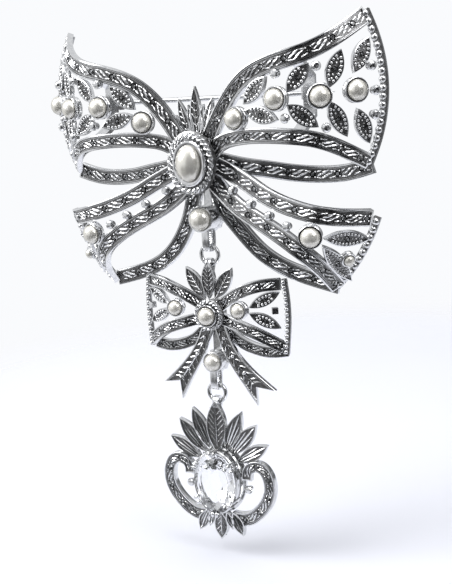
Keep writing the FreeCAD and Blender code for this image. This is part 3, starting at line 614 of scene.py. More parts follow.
def half_pearl(radius, base, dome):
    """A round pearl whose top is dome above its widest level."""
    drawing = new_drawing()
    matrix = Matrix.Translation((0, 0, base)) @ Matrix.Diagonal((1, 1, dome, 1))
    bmesh.ops.create_uvsphere(drawing, u_segments=40, v_segments=24, radius=radius, matrix=matrix)
    return drawing


WING_CUPS = [(10.9, 8.7), (20.3, 12.2), (28.5, 12.3), (34.3, 13.1)]
LOOP_CUPS = [(25.6, -14.9)]
TINY_CUPS = [(31.0, -20.4)]
WING_BEADS = [(20.4, 17.0), (28.0, 18.0), (36.6, 17.6), (37.2, 12.9), (36.9, 8.3),
              (29.3, 6.3), (22.1, 8.4)]
LOOP_BEADS = [(7.9, -5.9), (12.5, -8.6), (16.9, -10.9), (20.9, -12.9)]
DROP_Z = -12.0
PETALS = 12
DOME = 0.86               # how far a half-pearl is flattened


def bow_pearls():
    cups, pearls = [], []
    spots = [(wing, x, z, PEARL_R) for x, z in WING_CUPS]
    spots += [(loop, x, z, PEARL_R) for x, z in LOOP_CUPS]
    spots += [(loop, x, z, TINY_PEARL_R) for x, z in TINY_CUPS]
    for front, x, z, radius in spots:
        height = 1.1 + 0.35 * radius
        matrix = seat(on_front(front, x, z, -0.9), outward(front, x, z))
        cups.append(stood(pearl_cup(radius, height, 0.4), matrix))
        pearls.append(stood(half_pearl(radius - 0.06, height + 0.05, DOME), matrix))
    finish_piece("bow_pearl_cups", "_bezelled", gather(cups, (1, -1)), "bow", [antiqued])
    side_pearls = gather(pearls, (1, -1))
    drop = stood(half_pearl(DROP_PEARL_R - 0.06, 0.1, DOME), seat(Vector((0, 0.7, DROP_Z)), FRONT))
    finish_piece("bow_pearls", "_lustred", gather([side_pearls, drop]), "bow", [pearl_lustre])


def bead_posts():
    posts = []
    for front, spots in ((wing, WING_BEADS), (loop, LOOP_BEADS)):
        for x, z in spots:
            profile = [(0, -0.8), (0.72, -0.8), (0.6, -0.1), (0.95, 0.15), (0.98, 0.5), (0.86, 0.85),
                       (0.55, 1.1), (0, 1.2)]
            drawing = turned(profile, 20)
            darken(drawing, lambda r, z: 0.8 if z < 0 else 0.0)
            posts.append(stood(drawing, seat(on_front(front, x, z), outward(front, x, z))))
    finish_piece("bead_posts", "_turned", gather(posts, (1, -1)), "bow", [antiqued])


def deep_cup(radius, y_front, y_back, z):
    """A drop's cup: a deep wall, a waist, and a petalled dish at its back."""
    deep = y_back - y_front
    wall = radius + CUP_WALL
    profile = [(0, -deep), (wall + 0.35, -deep), (wall + 0.5, -deep + 0.25), (wall + 0.38, -deep + 0.55),
               (wall - 0.05, -deep + 1.0), (wall - 0.12, -deep * 0.5), (wall, -0.5), (wall + 0.02, -0.1),
               (wall - 0.1, 0), (radius + 0.03, -0.02), (radius, -0.15), (radius - 0.02, -1.2), (0, -1.2)]
    drawing = turned(profile, 48)
    darken(drawing, lambda r, z: 1.0 if r < radius + 0.02 else 0.6 if abs(z + deep - 1.0) < 0.1 else 0.0)
    for vert in drawing.verts:
        if math.hypot(vert.co.x, vert.co.y) > wall + 0.2:
            petal = 1 - 0.045 * (1 + math.cos(PETALS * math.atan2(vert.co.y, vert.co.x)))
            vert.co.x *= petal
            vert.co.y *= petal
    return stood(drawing, seat(Vector((0, y_front, z)), FRONT))


# Rosettes -------------------------------------------------------------------------------------

def rope_ring(half, thick, lobes, depth, lift):
    """A twisted rope laid round an oval."""
    base = [(half[0] - thick / 2, -depth), (half[0] + thick / 2, -depth), (half[0] + thick / 2, -0.35),
            (half[0] + thick * 0.3, -0.15), (half[0] - thick * 0.3, -0.15), (half[0] - thick / 2, -0.35),
            (half[0] - thick / 2, -depth)]
    drawing = turned(base, 64)
    bmesh.ops.scale(drawing, vec=(1, half[1] / half[0], 1), verts=drawing.verts)
    for i in range(lobes):
        turn = math.tau * i / lobes
        x, y = half[0] * math.cos(turn), half[1] * math.sin(turn)
        heading = math.degrees(math.atan2(half[1] * math.cos(turn), -half[0] * math.sin(turn)))
        matrix = spot_matrix(x, y, -0.12, heading + 38)
        matrix = matrix @ Matrix.Diagonal((thick * 0.66, thick * 0.27, 0.62, 1))
        matrix = matrix @ Matrix.Rotation(math.pi / 2, 4, "Y")
        bmesh.ops.create_uvsphere(drawing, u_segments=12, v_segments=10, radius=1, matrix=matrix)
    darken(drawing, lambda r, z: within((0.12 - z) / 0.4))
    bmesh.ops.translate(drawing, vec=(0, 0, lift), verts=drawing.verts)
    return drawing


def main_rosette():
    front = seat(Vector((0, HUB_FRONT, 0)), FRONT)
    rope = rope_ring((4.7, 5.7), 1.6, 26, 1.1, 1.55)
    finish_piece("rope_bezel", "_twisted", stood(rope, front), "bow", [antiqued])
    profile = [(0, 0), (3.88, 0), (3.9, 1.7), (3.77, 2.3), (3.575, 2.58), (3.315, 2.6), (3.04, 2.5),
               (3.0, 2.2), (3.0, 2.0), (0, 2.0)]
    collar = turned(profile, 64)
    darken(collar, lambda r, z: 1.0 if r < 3.02 else 0.0)
    bmesh.ops.scale(collar, vec=(1, COLLAR[1] / COLLAR[0], 1), verts=collar.verts)
    finish_piece("pearl_collar", "_polished", stood(collar, front), "bow", [polished])
    drawing = new_drawing()
    half = (CABOCHON[0] - 0.14, CABOCHON[1] - 0.14)
    matrix = Matrix.Translation((0, 0, 2.2)) @ Matrix.Diagonal((half[0], half[1], 2.6, 1))
    bmesh.ops.create_uvsphere(drawing, u_segments=64, v_segments=32, radius=1, matrix=matrix)
    for vert in drawing.verts:
        vert.co.z = max(vert.co.z, 1.95)
    finish_piece("centre_cabochon", "_lustred", stood(drawing, front), "bow", [pearl_lustre])


# Drop cup, bails, rings -----------------------------------------------------------------------

BAIL_RIBS = 9

def bail_strap(y, top, height, depth):
    """A strap bent into an upright U: plain in front, ribbed behind."""
    half = depth / 2 - 0.35
    low = top - height + 0.35
    points = [(0, y - half, top), (0, y - half, low + half), (0, y - half * 0.7, low + half * 0.29),
              (0, y, low), (0, y + half * 0.7, low + half * 0.29), (0, y + half, low + half),
              (0, y + half, top)]
    route = Route(points).edgewise()
    drawing = slab(route.length, 1.7, 0.62, 40)
    bmesh.ops.translate(drawing, vec=(0, 0, 0.31), verts=drawing.verts)
    soften(drawing, [e for e in drawing.edges if all(abs(v.co.y) > 0.8 for v in e.verts)
                     and abs(e.verts[0].co.x - e.verts[1].co.x) > 0.01], 0.16)
    for i in range(BAIL_RIBS):
        stroke(drawing, route.length * (0.56 + 0.42 * i / BAIL_RIBS), 0, 0.3, 1.5, 0.3, 0.16, 90)
    return route.lay(drawing)


def jump_ring(z, y):
    """A round wire ring, closed, facing the front."""
    drawing = new_drawing()
    matrix = Matrix.Translation((2.05, 0, 0)) @ Matrix.Rotation(math.pi / 2, 4, "X")
    made = bmesh.ops.create_circle(drawing, segments=20, radius=0.45, matrix=matrix)
    edges = list({e for v in made["verts"] for e in v.link_edges})
    bmesh.ops.spin(drawing, geom=made["verts"] + edges, cent=(0, 0, 0), axis=(0, 0, 1), angle=math.tau,
                   steps=56, use_merge=True)
    bmesh.ops.remove_doubles(drawing, verts=drawing.verts, dist=MERGE)
    bmesh.ops.recalc_face_normals(drawing, faces=drawing.faces)
    return stood(drawing, seat(Vector((0, y, z)), FRONT))


def chain():
    for node, body in (("upper_jump_ring", "upper_ring"), ("lower_jump_ring", "lower_ring")):
        low, high = corners(node)
        middle = (low + high) / 2
        finish_piece(node, "_wire", jump_ring(middle.z, middle.y), body, [polished])
    finish_piece("drop_cup", "_petalled", deep_cup(DROP_PEARL_R, 0.6, 6.2, DROP_Z), "bow", [antiqued])
    neck = slab(9.6, 1.8, 0.9, 4)
    stood(neck, seat(Vector((0, 4.6, -0.4)), FRONT, Vector((0, 0, -1))))
    strap = bail_strap(4.2, DROP_Z - DROP_PEARL_R - 0.2, 4.8, 3.4)
    finish_piece("drop_bail", "_ribbed", gather([strap, neck]), "bow", [antiqued])


# Small bow ------------------------------------------------------------------------------------

SMALL_RIBBONS = [
    ([(1.6, 1.6), (6.5, 4.7), (11.5, 6.6), (16.2, 6.9)], small_wing),
    ([(1.6, -0.8), (6.5, -2.0), (11.5, -3.8), (16.4, -6.9)], small_wing),
    ([(1.4, 1.4, -2.0), (4.6, 1.7, -5.6), (8.5, 2.0, -7.6), (12.5, 2.2, -8.3), (16.3, 2.9, -7.9)], None),
]
SMALL_CUP = (7.7, 1.5)
TAIL_Z = -10.7


def tail_drawing():
    """A ribbon tail that widens to a swallow-cut end."""
    route = Route([(1.2, 0.6, -2.2), (3.6, 0.3, -8.0), (7.0, 0.5, -13.0), (11.6, 1.4, -18.6)])
    length = route.length
    drawing = slab(length, TAIL_W, SMALL_RIBBON_T, int(length / RAIL_SLICE), 5)
    sink_face(drawing, 0.3, 0.3)
    stroke(drawing, length * 0.47, 0, -0.3, length * 0.8, 0.26, 0.3, 0, rings=24)
    for i in range(9):
        along = 1.6 + i * 1.8
        for side in (1, -1):
            stroke(drawing, along + 0.4, side * 0.52, -0.3, 1.6, 0.36, 0.3, side * 34)
    for i in range(4):
        grain(drawing, 3.4 + i * 4.4, 0, -0.05, 0.42, level=2)
    weather(drawing, 0.3, 0.4)
    for vert in drawing.verts:
        share = max(vert.co.x / length, 0.0)
        across = vert.co.y * (1 + (TAIL_END_W / TAIL_W - 1) * share ** 2.2)
        pull = max(0.0, (vert.co.x - length * 0.72) / (length * 0.28))
        cut = 3.4 * pull * (1 - min(abs(across) * 2 / TAIL_END_W, 1.0))
        vert.co = (vert.co.x - cut, across, vert.co.z)
    return route.lay(drawing)


def small_ribbons():
    for side, word in SIDES:
        bands = []
        for points, front in SMALL_RIBBONS:
            route = Route(points, front)
            bands.append(route.lay(ribbon_drawing(route.length, SMALL_RIBBON_W, SMALL_RIBBON_T,
                                                  SMALL_STONE_PITCH, 4.3, rim=0.3, dip=0.3)))
        finish_piece("small_" + word + "_ribbons", "_engraved", gather(bands, (side,)), "small_bow",
                     [antiqued, marcasite])
        finish_piece("small_" + word + "_tail", "_engraved", gather([tail_drawing()], (side,)),
                     "small_bow", [antiqued])
    rail_points = [(16.6, 1.4, -8.4), (17.0, 1.6, -3.0), (17.0, 1.6, 3.0), (16.5, 1.4, 7.9)]
    rail = beaded_rail(Route(rail_points), 1.0, SMALL_RIBBON_T, 0.5, 1.15)
    finish_piece("small_end_rails", "_beaded", gather([rail], (1, -1)), "small_bow", [antiqued])


def small_leaves():
    """Two grain-set leaves and a square post in each half of the small bow."""
    leaves = [surface_leaf(small_wing, (9.7, 2.1), (15.9, 5.2), SMALL_LEAF_W),
              surface_leaf(small_wing, (9.7, 0.9), (15.9, -2.6), SMALL_LEAF_W)]
    post = slab(1.3, 1.3, 1.2, 1)
    bmesh.ops.translate(post, vec=(-0.65, 0, 0.7), verts=post.verts)
    leaves.append(stood(post, seat(on_front(small_wing, 14.9, 1.4), outward(small_wing, 14.9, 1.4))))
    finish_piece("small_leaves", "_grain_set", gather(leaves, (1, -1)), "small_bow",
                 [antiqued, marcasite])


def small_pearls():
    """The side pearls, the pearl in the rope bezel and the one in the drop cup."""
    x, z = SMALL_CUP
    matrix = seat(on_front(small_wing, x, z, -0.6), outward(small_wing, x, z))
    cups = gather([stood(pearl_cup(SMALL_PEARL_R, 1.7, 0.3), matrix)], (1, -1))
    pearls = gather([stood(half_pearl(SMALL_PEARL_R - 0.02, 1.6, DOME), matrix)], (1, -1))
    centre = seat(Vector((0, -0.5, 0)), FRONT)
    middle_cup = stood(pearl_cup(MID_PEARL_R + 0.1, 2.2, 1.0), centre)
    middle_pearl = stood(half_pearl(MID_PEARL_R, 2.1, DOME), centre)
    drop = deep_cup(MID_PEARL_R, -1.0, 2.4, TAIL_Z)
    drop_pearl = stood(half_pearl(MID_PEARL_R - 0.02, 0, DOME), seat(Vector((0, -0.9, TAIL_Z)), FRONT))
    finish_piece("small_pearl_cups", "_bezelled", gather([cups, middle_cup, drop]), "small_bow",
                 [antiqued])
    finish_piece("small_bow_pearls", "_lustred", gather([pearls, middle_pearl, drop_pearl]),
                 "small_bow", [pearl_lustre])
    rope = rope_ring((2.95, 2.95), 1.1, 20, 0.7, 1.15)
    finish_piece("small_rope_bezel", "_twisted", stood(rope, centre), "small_bow", [antiqued])


def small_crown_and_bail():
    crown = [stood_leaf(veined_leaf(8.4, CROWN_LEAF_W), (0, -1.0, 3.5), (0, -1.0, 11.9))]
    for side in (1, -1):
        crown.append(stood_leaf(veined_leaf(8.2, CROWN_LEAF_W, veins=4), (side * 1.2, -0.7, 3.4),
                                (side * 5.5, 0.6, 10.4)))
    crown.append(eye_strap("small_leaf_crown", SMALL, 0.6))
    finish_piece("small_leaf_crown", "_veined", gather(crown), "small_bow", [antiqued])
    neck = slab(7.2, 1.6, 0.8, 3)
    stood(neck, seat(Vector((0, 1.6, -2.2)), FRONT, Vector((0, 0, -1))))
    strap = bail_strap(0.6, TAIL_Z - MID_PEARL_R - 0.2, 4.4, 2.9)
    finish_piece("small_bail", "_ribbed", gather([strap, neck]), "small_bow", [antiqued])


def eye_strap(node, origin, y):
    """The eye behind a leaf, closed over a ring's wire."""
    top = corners(node)[1].z - origin.z - 0.35
    points = [(0, y - 1.0, top - 2.4), (0, y - 1.05, top - 1.1), (0, y - 0.72, top - 0.3), (0, y, top),
              (0, y + 0.72, top - 0.3), (0, y + 1.05, top - 1.1), (0, y + 0.6, top - 2.2),
              (0, y + 0.2, top - 5.0)]
    route = Route(points).edgewise()
    drawing = slab(route.length, 1.2, 0.6, 40)
    bmesh.ops.translate(drawing, vec=(0, 0, 0.3), verts=drawing.verts)
    return route.lay(drawing)


# Pendant --------------------------------------------------------------------------------------

def crystal_stone():
    """An oval mixed-cut stone: table, kite and girdle facets, and a stepped pavilion."""
    drawing = new_drawing()
    rings = [(8, 0.60, 3.6, 0), (16, 0.83, 2.85, 11.25), (32, 1.0, 1.95, 0), (32, 1.0, 1.65, 0),
             (16, 0.72, 0.0, 11.25), (8, 0.34, -1.2, 0)]
    for count, reach, height, turn in rings:
        matrix = Matrix.Translation((0, 0, height)) @ Matrix.Rotation(math.radians(turn), 4, "Z")
        bmesh.ops.create_circle(drawing, segments=count, radius=reach, matrix=matrix)
    hull = bmesh.ops.convex_hull(drawing, input=drawing.verts)
    spare = [g for g in hull["geom_interior"] + hull["geom_unused"] if isinstance(g, bmesh.types.BMVert)]
    bmesh.ops.delete(drawing, geom=spare, context="VERTS")
    bmesh.ops.dissolve_limit(drawing, angle_limit=math.radians(1.5), verts=drawing.verts,
                             edges=drawing.edges)
    bmesh.ops.scale(drawing, vec=(*CRYSTAL, 1), verts=drawing.verts)
    return drawing


def crystal_setting():
    """An open gallery with a rounded lip and six double claws."""
    half = (CRYSTAL[0] + 0.45, CRYSTAL[1] + 0.45)
    profile = [(half[0] - 0.55, -1.9), (half[0], -1.9), (half[0], -1.5), (half[0] - 0.25, -1.2),
               (half[0] - 0.25, -0.1), (half[0], 0.2), (half[0], 1.0), (half[0] - 0.12, 1.2),
               (half[0] - 0.5, 1.3), (half[0] - 0.9, 0.8), (half[0] - 0.95, -1.2), (half[0] - 0.55, -1.9)]
    drawing = turned(profile, 72)
    for vert in drawing.verts:
        reach = math.hypot(vert.co.x, vert.co.y)
        vert.co.y += (half[1] - half[0]) * vert.co.y / reach
    darken(drawing, lambda r, z: 0.8 if -1.3 < z < 0.0 else 0.0)
    for degrees in (35, 90, 145, 215, 270, 325):
        for lean in (-5.5, 5.5):
            turn = math.radians(degrees + lean)
            x, y = (half[0] - 0.12) * math.cos(turn), (half[1] - 0.12) * math.sin(turn)
            inward = math.degrees(math.atan2(-y, -x))
            cone(drawing, x, y, 1.1, (0.46, 0.36), 3.0, 10, inward)
            tip = spot_matrix(x, y, 2.55, inward) @ Matrix.Translation((0.28, 0, 0))
            tip = tip @ Matrix.Diagonal((0.62, 0.42, 0.36, 1))
            bmesh.ops.create_icosphere(drawing, subdivisions=2, radius=1, matrix=tip)
    return drawing


def scroll_drawing():
    """A ribbon rolled into a volute, narrower towards its inner end."""
    route = Route([(3.0, 0.7, -8.9), (6.4, 0.6, -8.6), (9.6, 0.4, -6.4), (12.0, 0.2, -2.8),
                   (12.4, 0.1, 1.2), (10.2, 0.0, 4.3), (7.6, 0.0, 3.4), (7.1, 0.0, 0.9)])
    length = route.length
    drawing = ribbon_drawing(length, SCROLL_W, 1.4, SCROLL_STONE_PITCH, 3.0, rim=0.32)
    for vert in drawing.verts:
        vert.co.y *= 1 - (1 - SCROLL_END_W / SCROLL_W) * within(vert.co.x / length)
    return route.lay(drawing)


def set_crystal():
    front = seat(Vector(), FRONT)
    finish_piece("crystal", "_faceted", stood(crystal_stone(), front), "pendant", [clear_crystal],
                 CUT_STONE_CREASE)
    finish_piece("crystal_setting", "_clawed", stood(crystal_setting(), front), "pendant", [antiqued])


def scrolls():
    for side, word in SIDES:
        finish_piece("pendant_" + word + "_scroll", "_engraved", gather([scroll_drawing()], (side,)),
                     "pendant", [antiqued, marcasite])
    bead = turned([(0, -1.0), (0.6, -1.0), (0.5, -0.2), (0.9, 0.1), (0.92, 0.45), (0.7, 0.8), (0, 1.0)], 20)
    bead = stood(bead, seat(Vector((7.2, 0.9, -1.4)), FRONT))
    finish_piece("pendant_scroll_beads", "_turned", gather([bead], (1, -1)), "pendant", [polished])


def pendant_leaves():
    """A veined leaf and six blades above the crystal, and five short leaves below it."""
    fan = [stood_leaf(veined_leaf(12.2, 4.8, 1.2, 6), (0, 0.35, 6.4), (0, 0.2, 18.6))]
    for tip, width, step in (((6.0, 16.3), 3.5, 0.0), ((9.5, 13.5), 3.5, 0.1), ((12.1, 9.1), 3.3, 0.2)):
        lean = math.atan2(tip[0], tip[1])
        foot = Vector((5.6 * math.sin(lean), 0.75 + step, 7.4 * math.cos(lean)))
        point = Vector((tip[0], 0.45 + step, tip[1]))
        for side in (1, -1):
            mirror = Vector((side, 1, 1))
            fan.append(stood_leaf(grooved_leaf((point - foot).length, width, 1.1), foot * mirror,
                                  point * mirror))
    finish_piece("pendant_fan_leaves", "_carved", gather(fan), "pendant", [antiqued])
    lower = []
    for tip_x, tip_z, width in ((0.0, -14.1, 3.5), (5.5, -12.6, 2.8), (2.9, -11.4, 1.9)):
        for side in ((1,) if tip_x == 0 else (1, -1)):
            foot = Vector((side * tip_x * 0.55, 0.3, -7.2))
            point = Vector((side * tip_x, 0.1, tip_z))
            long = (point - foot).length
            leaf = veined_leaf(long, width, 1.1, 4) if tip_x == 0 else grooved_leaf(long, width, 1.1)
            lower.append(stood_leaf(leaf, foot, point))
    finish_piece("pendant_lower_leaves", "_carved", gather(lower), "pendant", [antiqued])
    finish_piece("pendant_eye", "_strap", eye_strap("pendant_eye", PENDANT, 2.0), "pendant", [polished])


# Finishes -------------------------------------------------------------------------------------

MIX_FACTOR, MIX_FIRST, MIX_SECOND, MIX_RESULT = 0, 6, 7, 2    # a colour Mix node's sockets

class Sum:
    """A shader value that takes part in Python arithmetic by adding Math nodes."""

    def __init__(self, bench, socket):
        self.bench = bench
        self.socket = socket

    def math(self, operation, *terms):
        return self.bench.node("ShaderNodeMath", {"operation": operation}, dict(enumerate(terms)))

    def __add__(self, other):
        return self.math("ADD", self, other)

    __radd__ = __add__

    def __mul__(self, other):
        return self.math("MULTIPLY", self, other)

    __rmul__ = __mul__

    def __sub__(self, other):
        return self.math("SUBTRACT", self, other)

    def __rsub__(self, other):
        return self.math("SUBTRACT", other, self)

    def __pow__(self, other):
        return self.math("POWER", self, other)

    def held(self, low=0.0, high=1.0):
        """The value kept between two limits."""
        return self.math("MINIMUM", self.math("MAXIMUM", self, low), high)

    def step(self, low, high):
        """A soft step from 0 at low to 1 at high."""
        return self.bench.node("ShaderNodeMapRange", {"interpolation_type": "SMOOTHSTEP"},
                               {"Value": self, "From Min": low, "From Max": high}, "Result")


class Bench:
    """The node tree of one material, or of the world, and the shader at its end."""

    def __init__(self, owner, shader, **fixed):
        owner.use_nodes = True
        self.tree = owner.node_tree
        self.shader = self.tree.nodes[shader]
        self.owner = owner
        for socket, value in fixed.items():
            self.wear(socket.replace("_", " "), value)

    def feed(self, socket, value):
        """Link a value to a socket, or set it there."""
        if isinstance(value, Sum):
            self.tree.links.new(value.socket, socket)
        else:
            socket.default_value = value

    def node(self, kind, settings, sockets, out=0):
        """Add a node, its settings first and then its sockets, and return one output."""
        node = self.tree.nodes.new(kind)
        for setting, value in settings.items():
            setattr(node, setting, value)
        for socket, value in sockets.items():
            self.feed(node.inputs[socket], value)
        return Sum(self, node.outputs[out])

    def place(self, space="Object"):
        return self.node("ShaderNodeTexCoord", {}, {}, space)

    def hollow(self):
        """How deep a point lies below the face of its piece."""
        return self.node("ShaderNodeAttribute", {"attribute_name": "hollow"}, {}, "Fac")

    def mottle(self, scale, detail=3.0, rough=0.55, where=None):
        """Cloudy noise at so many spots per metre."""
        return self.node("ShaderNodeTexNoise", {"noise_dimensions": "3D"},
                         {"Vector": where or self.place(), "Scale": scale, "Detail": detail,
                          "Roughness": rough})

    def blend(self, amount, first, second):
        """Mix two colours."""
        return self.node("ShaderNodeMix", {"data_type": "RGBA"},
                         {MIX_FACTOR: amount, MIX_FIRST: first, MIX_SECOND: second}, MIX_RESULT)

    def towards(self, way, aim):
        """How nearly a direction points at an aim, as the cosine between them."""
        return self.node("ShaderNodeVectorMath", {"operation": "DOT_PRODUCT"},
                         {0: way, 1: Vector(aim).normalized()}, "Value")

    def wear(self, socket, value):
        self.feed(self.shader.inputs[socket], value)

    def bump(self, height, strength, distance):
        self.wear("Normal", self.node("ShaderNodeBump", {}, {
            "Height": height, "Strength": strength, "Distance": distance}, "Normal"))


def finish_bench(name, **fixed):
    return Bench(bpy.data.materials.new(name), "Principled BSDF", **fixed)


def rgb(value, warm=0.0):
    """A grey of the given brightness, a touch warm or cool."""
    return (value * (1 + warm), value, value * (1 - warm), 1)


def antiqued_rhodium():
    """Bright worn plating on the high points, dark oxide left in the hollows."""
    bench = finish_bench("antiqued_rhodium", Specular_IOR_Level=0.5)
    cloud = bench.mottle(1400)
    fine = bench.mottle(6500, 4.0)
    soot = (bench.hollow() + (cloud - 0.5) * 0.6 + (fine - 0.5) * 0.4).step(0.35, 1.15)
    worn = (cloud * 0.6 + fine * 0.4).step(0.42, 0.62)
    bright = bench.blend(worn, rgb(0.68, -0.01), rgb(0.84, 0.0))
    bench.wear("Base Color", bench.blend(soot, bright, rgb(0.12, 0.01)))
    bench.wear("Roughness", 0.07 + soot * 0.22 + fine * 0.1)
    bench.wear("Metallic", 1.0 - soot * 0.1)
    bench.bump(cloud * 0.6 + fine, 0.25, 0.00006)
    return bench.owner


def polished_rhodium():
    """Smooth plated findings with faint rubbing marks."""
    bench = finish_bench("polished_rhodium", Metallic=1.0)
    cloud = bench.mottle(900)
    fine = bench.mottle(9000, 2.0)
    shade = (bench.hollow() + (cloud - 0.5) * 0.2).step(0.3, 0.9)
    bright = bench.blend(cloud.step(0.35, 0.65), rgb(0.66, -0.008), rgb(0.80, 0.0))
    bench.wear("Base Color", bench.blend(shade, bright, rgb(0.08, 0.03)))
    bench.wear("Roughness", 0.07 + fine * 0.08 + shade * 0.3)
    bench.bump(fine, 0.12, 0.00003)
    return bench.owner


def dark_marcasite():
    """Small grey metallic stones that glint from facet to facet."""
    bench = finish_bench("dark_marcasite", Metallic=0.9)
    cloud = bench.mottle(2300, 2.0)
    bench.wear("Base Color", bench.blend(cloud.step(0.4, 0.6), rgb(0.10, 0.0), rgb(0.34, -0.02)))
    bench.wear("Roughness", 0.08 + cloud * 0.15)
    return bench.owner


def cream_pearl():
    """Cream nacre: a soft body, a clear coat, and painted shade that darkens its rim towards olive."""
    bench = finish_bench("cream_pearl_lustre", Coat_Roughness=0.06, Coat_IOR=1.8, IOR=1.7, Metallic=0.5)
    cloud = bench.mottle(520, 2.0)
    fine = bench.mottle(5200, 3.0)
    # Painted shade: the base colour turns dark olive where the surface faces away from the view.
    edge = bench.node("ShaderNodeLayerWeight", {}, {"Blend": 0.5}, "Facing")
    body = bench.blend(cloud.step(0.3, 0.7), (0.76, 0.74, 0.67, 1), (0.82, 0.80, 0.74, 1))
    bench.wear("Base Color", bench.blend((edge ** 2.2 * 0.95).held(), body, (0.22, 0.20, 0.15, 1)))
    bench.wear("Roughness", 0.22 + fine * 0.08)
    bench.wear("Coat Weight", 0.8 + cloud * 0.2)
    bench.bump(fine, 0.04, 0.00002)
    return bench.owner


def oval_crystal():
    """Clear cut crystal."""
    bench = finish_bench("clear_cut_crystal", IOR=1.56, Transmission_Weight=1.0)
    cloud = bench.mottle(300, 1.0)
    bench.wear("Base Color", bench.blend(cloud, (0.97, 0.985, 1.0, 1), (1.0, 1.0, 1.0, 1)))
    bench.wear("Roughness", cloud * 0.012)
    return bench.owner


def drawn_steel():
    """Drawn wire, with fine lines along the pin."""
    bench = finish_bench("drawn_steel_wire", Metallic=1.0)
    stretched = bench.node("ShaderNodeMapping", {}, {"Vector": bench.place(), "Scale": (60, 9000, 9000)})
    lines = bench.mottle(1.0, 3.0, 0.5, stretched)
    bench.wear("Base Color", bench.blend(lines, rgb(0.55, -0.01), rgb(0.74, -0.01)))
    bench.wear("Roughness", 0.16 + lines * 0.14)
    bench.bump(lines, 0.15, 0.00003)
    return bench.owner


antiqued = antiqued_rhodium()
polished = polished_rhodium()
marcasite = dark_marcasite()
pearl_lustre = cream_pearl()
clear_crystal = oval_crystal()
pin_wire = drawn_steel()


def dress_frame():
    """Finishes for the nodes of the frame that stay in sight."""
    worn = {"pin_stem": pin_wire, "hinge_rivet": pin_wire, "pin_joint": polished, "catch_body": polished,
            "catch_barrel": polished, "left_pin_bridge": antiqued, "right_pin_bridge": antiqued,
            "bow_knot": antiqued, "small_knot": antiqued, "pendant_back_plate": antiqued}
    for name, finish in worn.items():
        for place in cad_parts[name].material_slots:
            place.material = finish


# Studio ---------------------------------------------------------------------------------------

VIEW_AZIMUTH, VIEW_ELEVATION, VIEW_ROLL = 27.0, 11.0, -3.0
VIEW_DISTANCE = 208.0
VIEW_SHIFT = (6.4, -26.9)
LENS, SENSOR = 61.64, 36
FLOOR_DROP = 4.0
FLOOR_R, FLOOR_MIDDLE = 0.20, 0.09
FLOOR_COLOURS = (0.60, 0.61, 0.66, 1), (0.64, 0.65, 0.69, 1)
TENT_WHITE = (0.80, 0.81, 0.83, 1)
DIM_ROOM, PALE_PANE = (0.012, 0.012, 0.014, 1), (0.42, 0.43, 0.45, 1)
LAMP_GLOW = (4.2, 4.2, 4.3, 1)
BACKDROP = (0.955, 0.965, 0.985, 1)


def camera():
    azimuth, elevation, roll = (math.radians(a) for a in (VIEW_AZIMUTH, VIEW_ELEVATION, VIEW_ROLL))
    back = Vector((math.sin(azimuth) * math.cos(elevation), -math.cos(azimuth) * math.cos(elevation),
                   math.sin(elevation)))
    right = Vector((math.cos(azimuth), math.sin(azimuth), 0))
    up = back.cross(right)
    right, up = (right * math.cos(roll) + up * math.sin(roll), up * math.cos(roll) - right * math.sin(roll))
    data = bpy.data.cameras.new("camera")
    data.sensor_width = SENSOR
    data.lens = LENS
    data.clip_start = 0.005
    view = bpy.data.objects.new("camera", data)
    matrix = Matrix((right, up, back)).transposed().to_4x4()
    matrix.translation = (BOW + right * VIEW_SHIFT[0] + up * VIEW_SHIFT[1] + back * VIEW_DISTANCE) * MM
    view.matrix_world = matrix
    bpy.context.scene.collection.objects.link(view)
    bpy.context.scene.camera = view


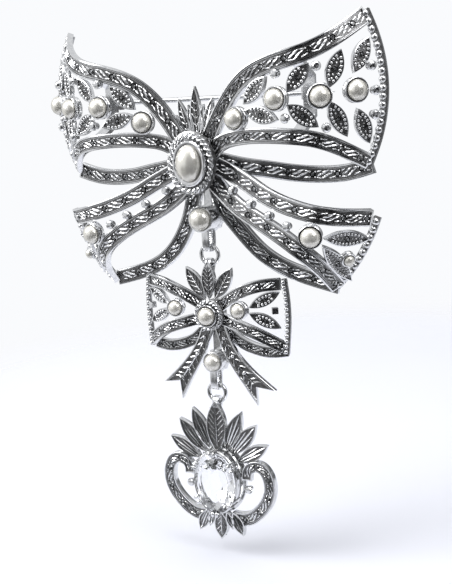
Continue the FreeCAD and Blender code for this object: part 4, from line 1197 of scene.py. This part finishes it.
def pale_floor():
    """A round pale floor that fades out towards its edge."""
    low = cad_box[0].z - FLOOR_DROP * MM
    drawing = bmesh.new()
    bmesh.ops.create_circle(drawing, cap_ends=True, segments=96, radius=FLOOR_R,
                            matrix=Matrix.Translation((0, FLOOR_MIDDLE, low)))
    mesh = bpy.data.meshes.new("pale_floor")
    drawing.to_mesh(mesh)
    drawing.free()
    bench = finish_bench("pale_paper", Roughness=0.9)
    cloud = bench.mottle(9, 2.0)
    bench.wear("Base Color", bench.blend(cloud, *FLOOR_COLOURS))
    reach = bench.node("ShaderNodeVectorMath", {"operation": "DISTANCE"},
                       {0: bench.place(), 1: (0, FLOOR_MIDDLE, low)}, "Value")
    bench.wear("Alpha", 1.0 - reach.step(FLOOR_R * 0.5, FLOOR_R * 0.98))
    mesh.materials.append(bench.owner)
    floor = bpy.data.objects.new("pale_floor", mesh)
    bpy.context.scene.collection.objects.link(floor)


def softbox(name, spot, aim, size, power):
    light = bpy.data.lights.new(name, "AREA")
    light.shape = "RECTANGLE"
    light.size, light.size_y = size
    light.energy = power
    lamp = bpy.data.objects.new(name, light)
    lamp.location = spot
    lamp.rotation_euler = (Vector(aim) - Vector(spot)).to_track_quat("-Z", "Y").to_euler()
    bpy.context.scene.collection.objects.link(lamp)


def light_tent():
    """A white tent, open at the front right and the back into a dim room with a few pale panes."""
    world = bpy.data.worlds.new("light_tent")
    bpy.context.scene.world = world
    bpy.context.scene.view_settings.view_transform = "Standard"
    bench = Bench(world, "Background")
    way = bench.place("Generated")
    opening = bench.towards(way, (0.72, -0.69, -0.06)).step(0.54, 0.74)
    band = bench.towards(way, (-0.35, -0.70, -0.62)).step(0.80, 0.92)
    rear = bench.towards(way, (0.25, 0.95, -0.15)).step(0.50, 0.80)
    panes = bench.mottle(4.5, 1.0, 0.5, way).step(0.54, 0.60)
    dim = bench.blend(panes, DIM_ROOM, PALE_PANE)
    light = bench.blend((opening + band * 0.8 + rear * 0.85).held(), TENT_WHITE, dim)
    lamps = bench.towards(way, (-0.60, -0.50, 0.62)).step(0.93, 0.96)
    lamps = (lamps + bench.towards(way, (0.75, -0.25, 0.60)).step(0.95, 0.97)).held()
    light = bench.blend(lamps, light, LAMP_GLOW)
    seen = bench.node("ShaderNodeLightPath", {}, {}, "Is Camera Ray")
    bench.wear("Color", bench.blend(seen, light, BACKDROP))
    middle = (Vector(cad_box[0]) + Vector(cad_box[1])) / 2
    softbox("left_softbox", (-0.35, -0.25, 0.25), middle, (0.25, 0.35), 1.5)
    softbox("top_softbox", (0.05, -0.05, 0.40), middle, (0.35, 0.25), 1.0)


large_ribbons()
end_rails()
large_leaves()
leaf_fan()
bow_pearls()
bead_posts()
main_rosette()
chain()
small_ribbons()
small_leaves()
small_pearls()
small_crown_and_bail()
set_crystal()
scrolls()
pendant_leaves()
dress_frame()
camera()
pale_floor()
light_tent()
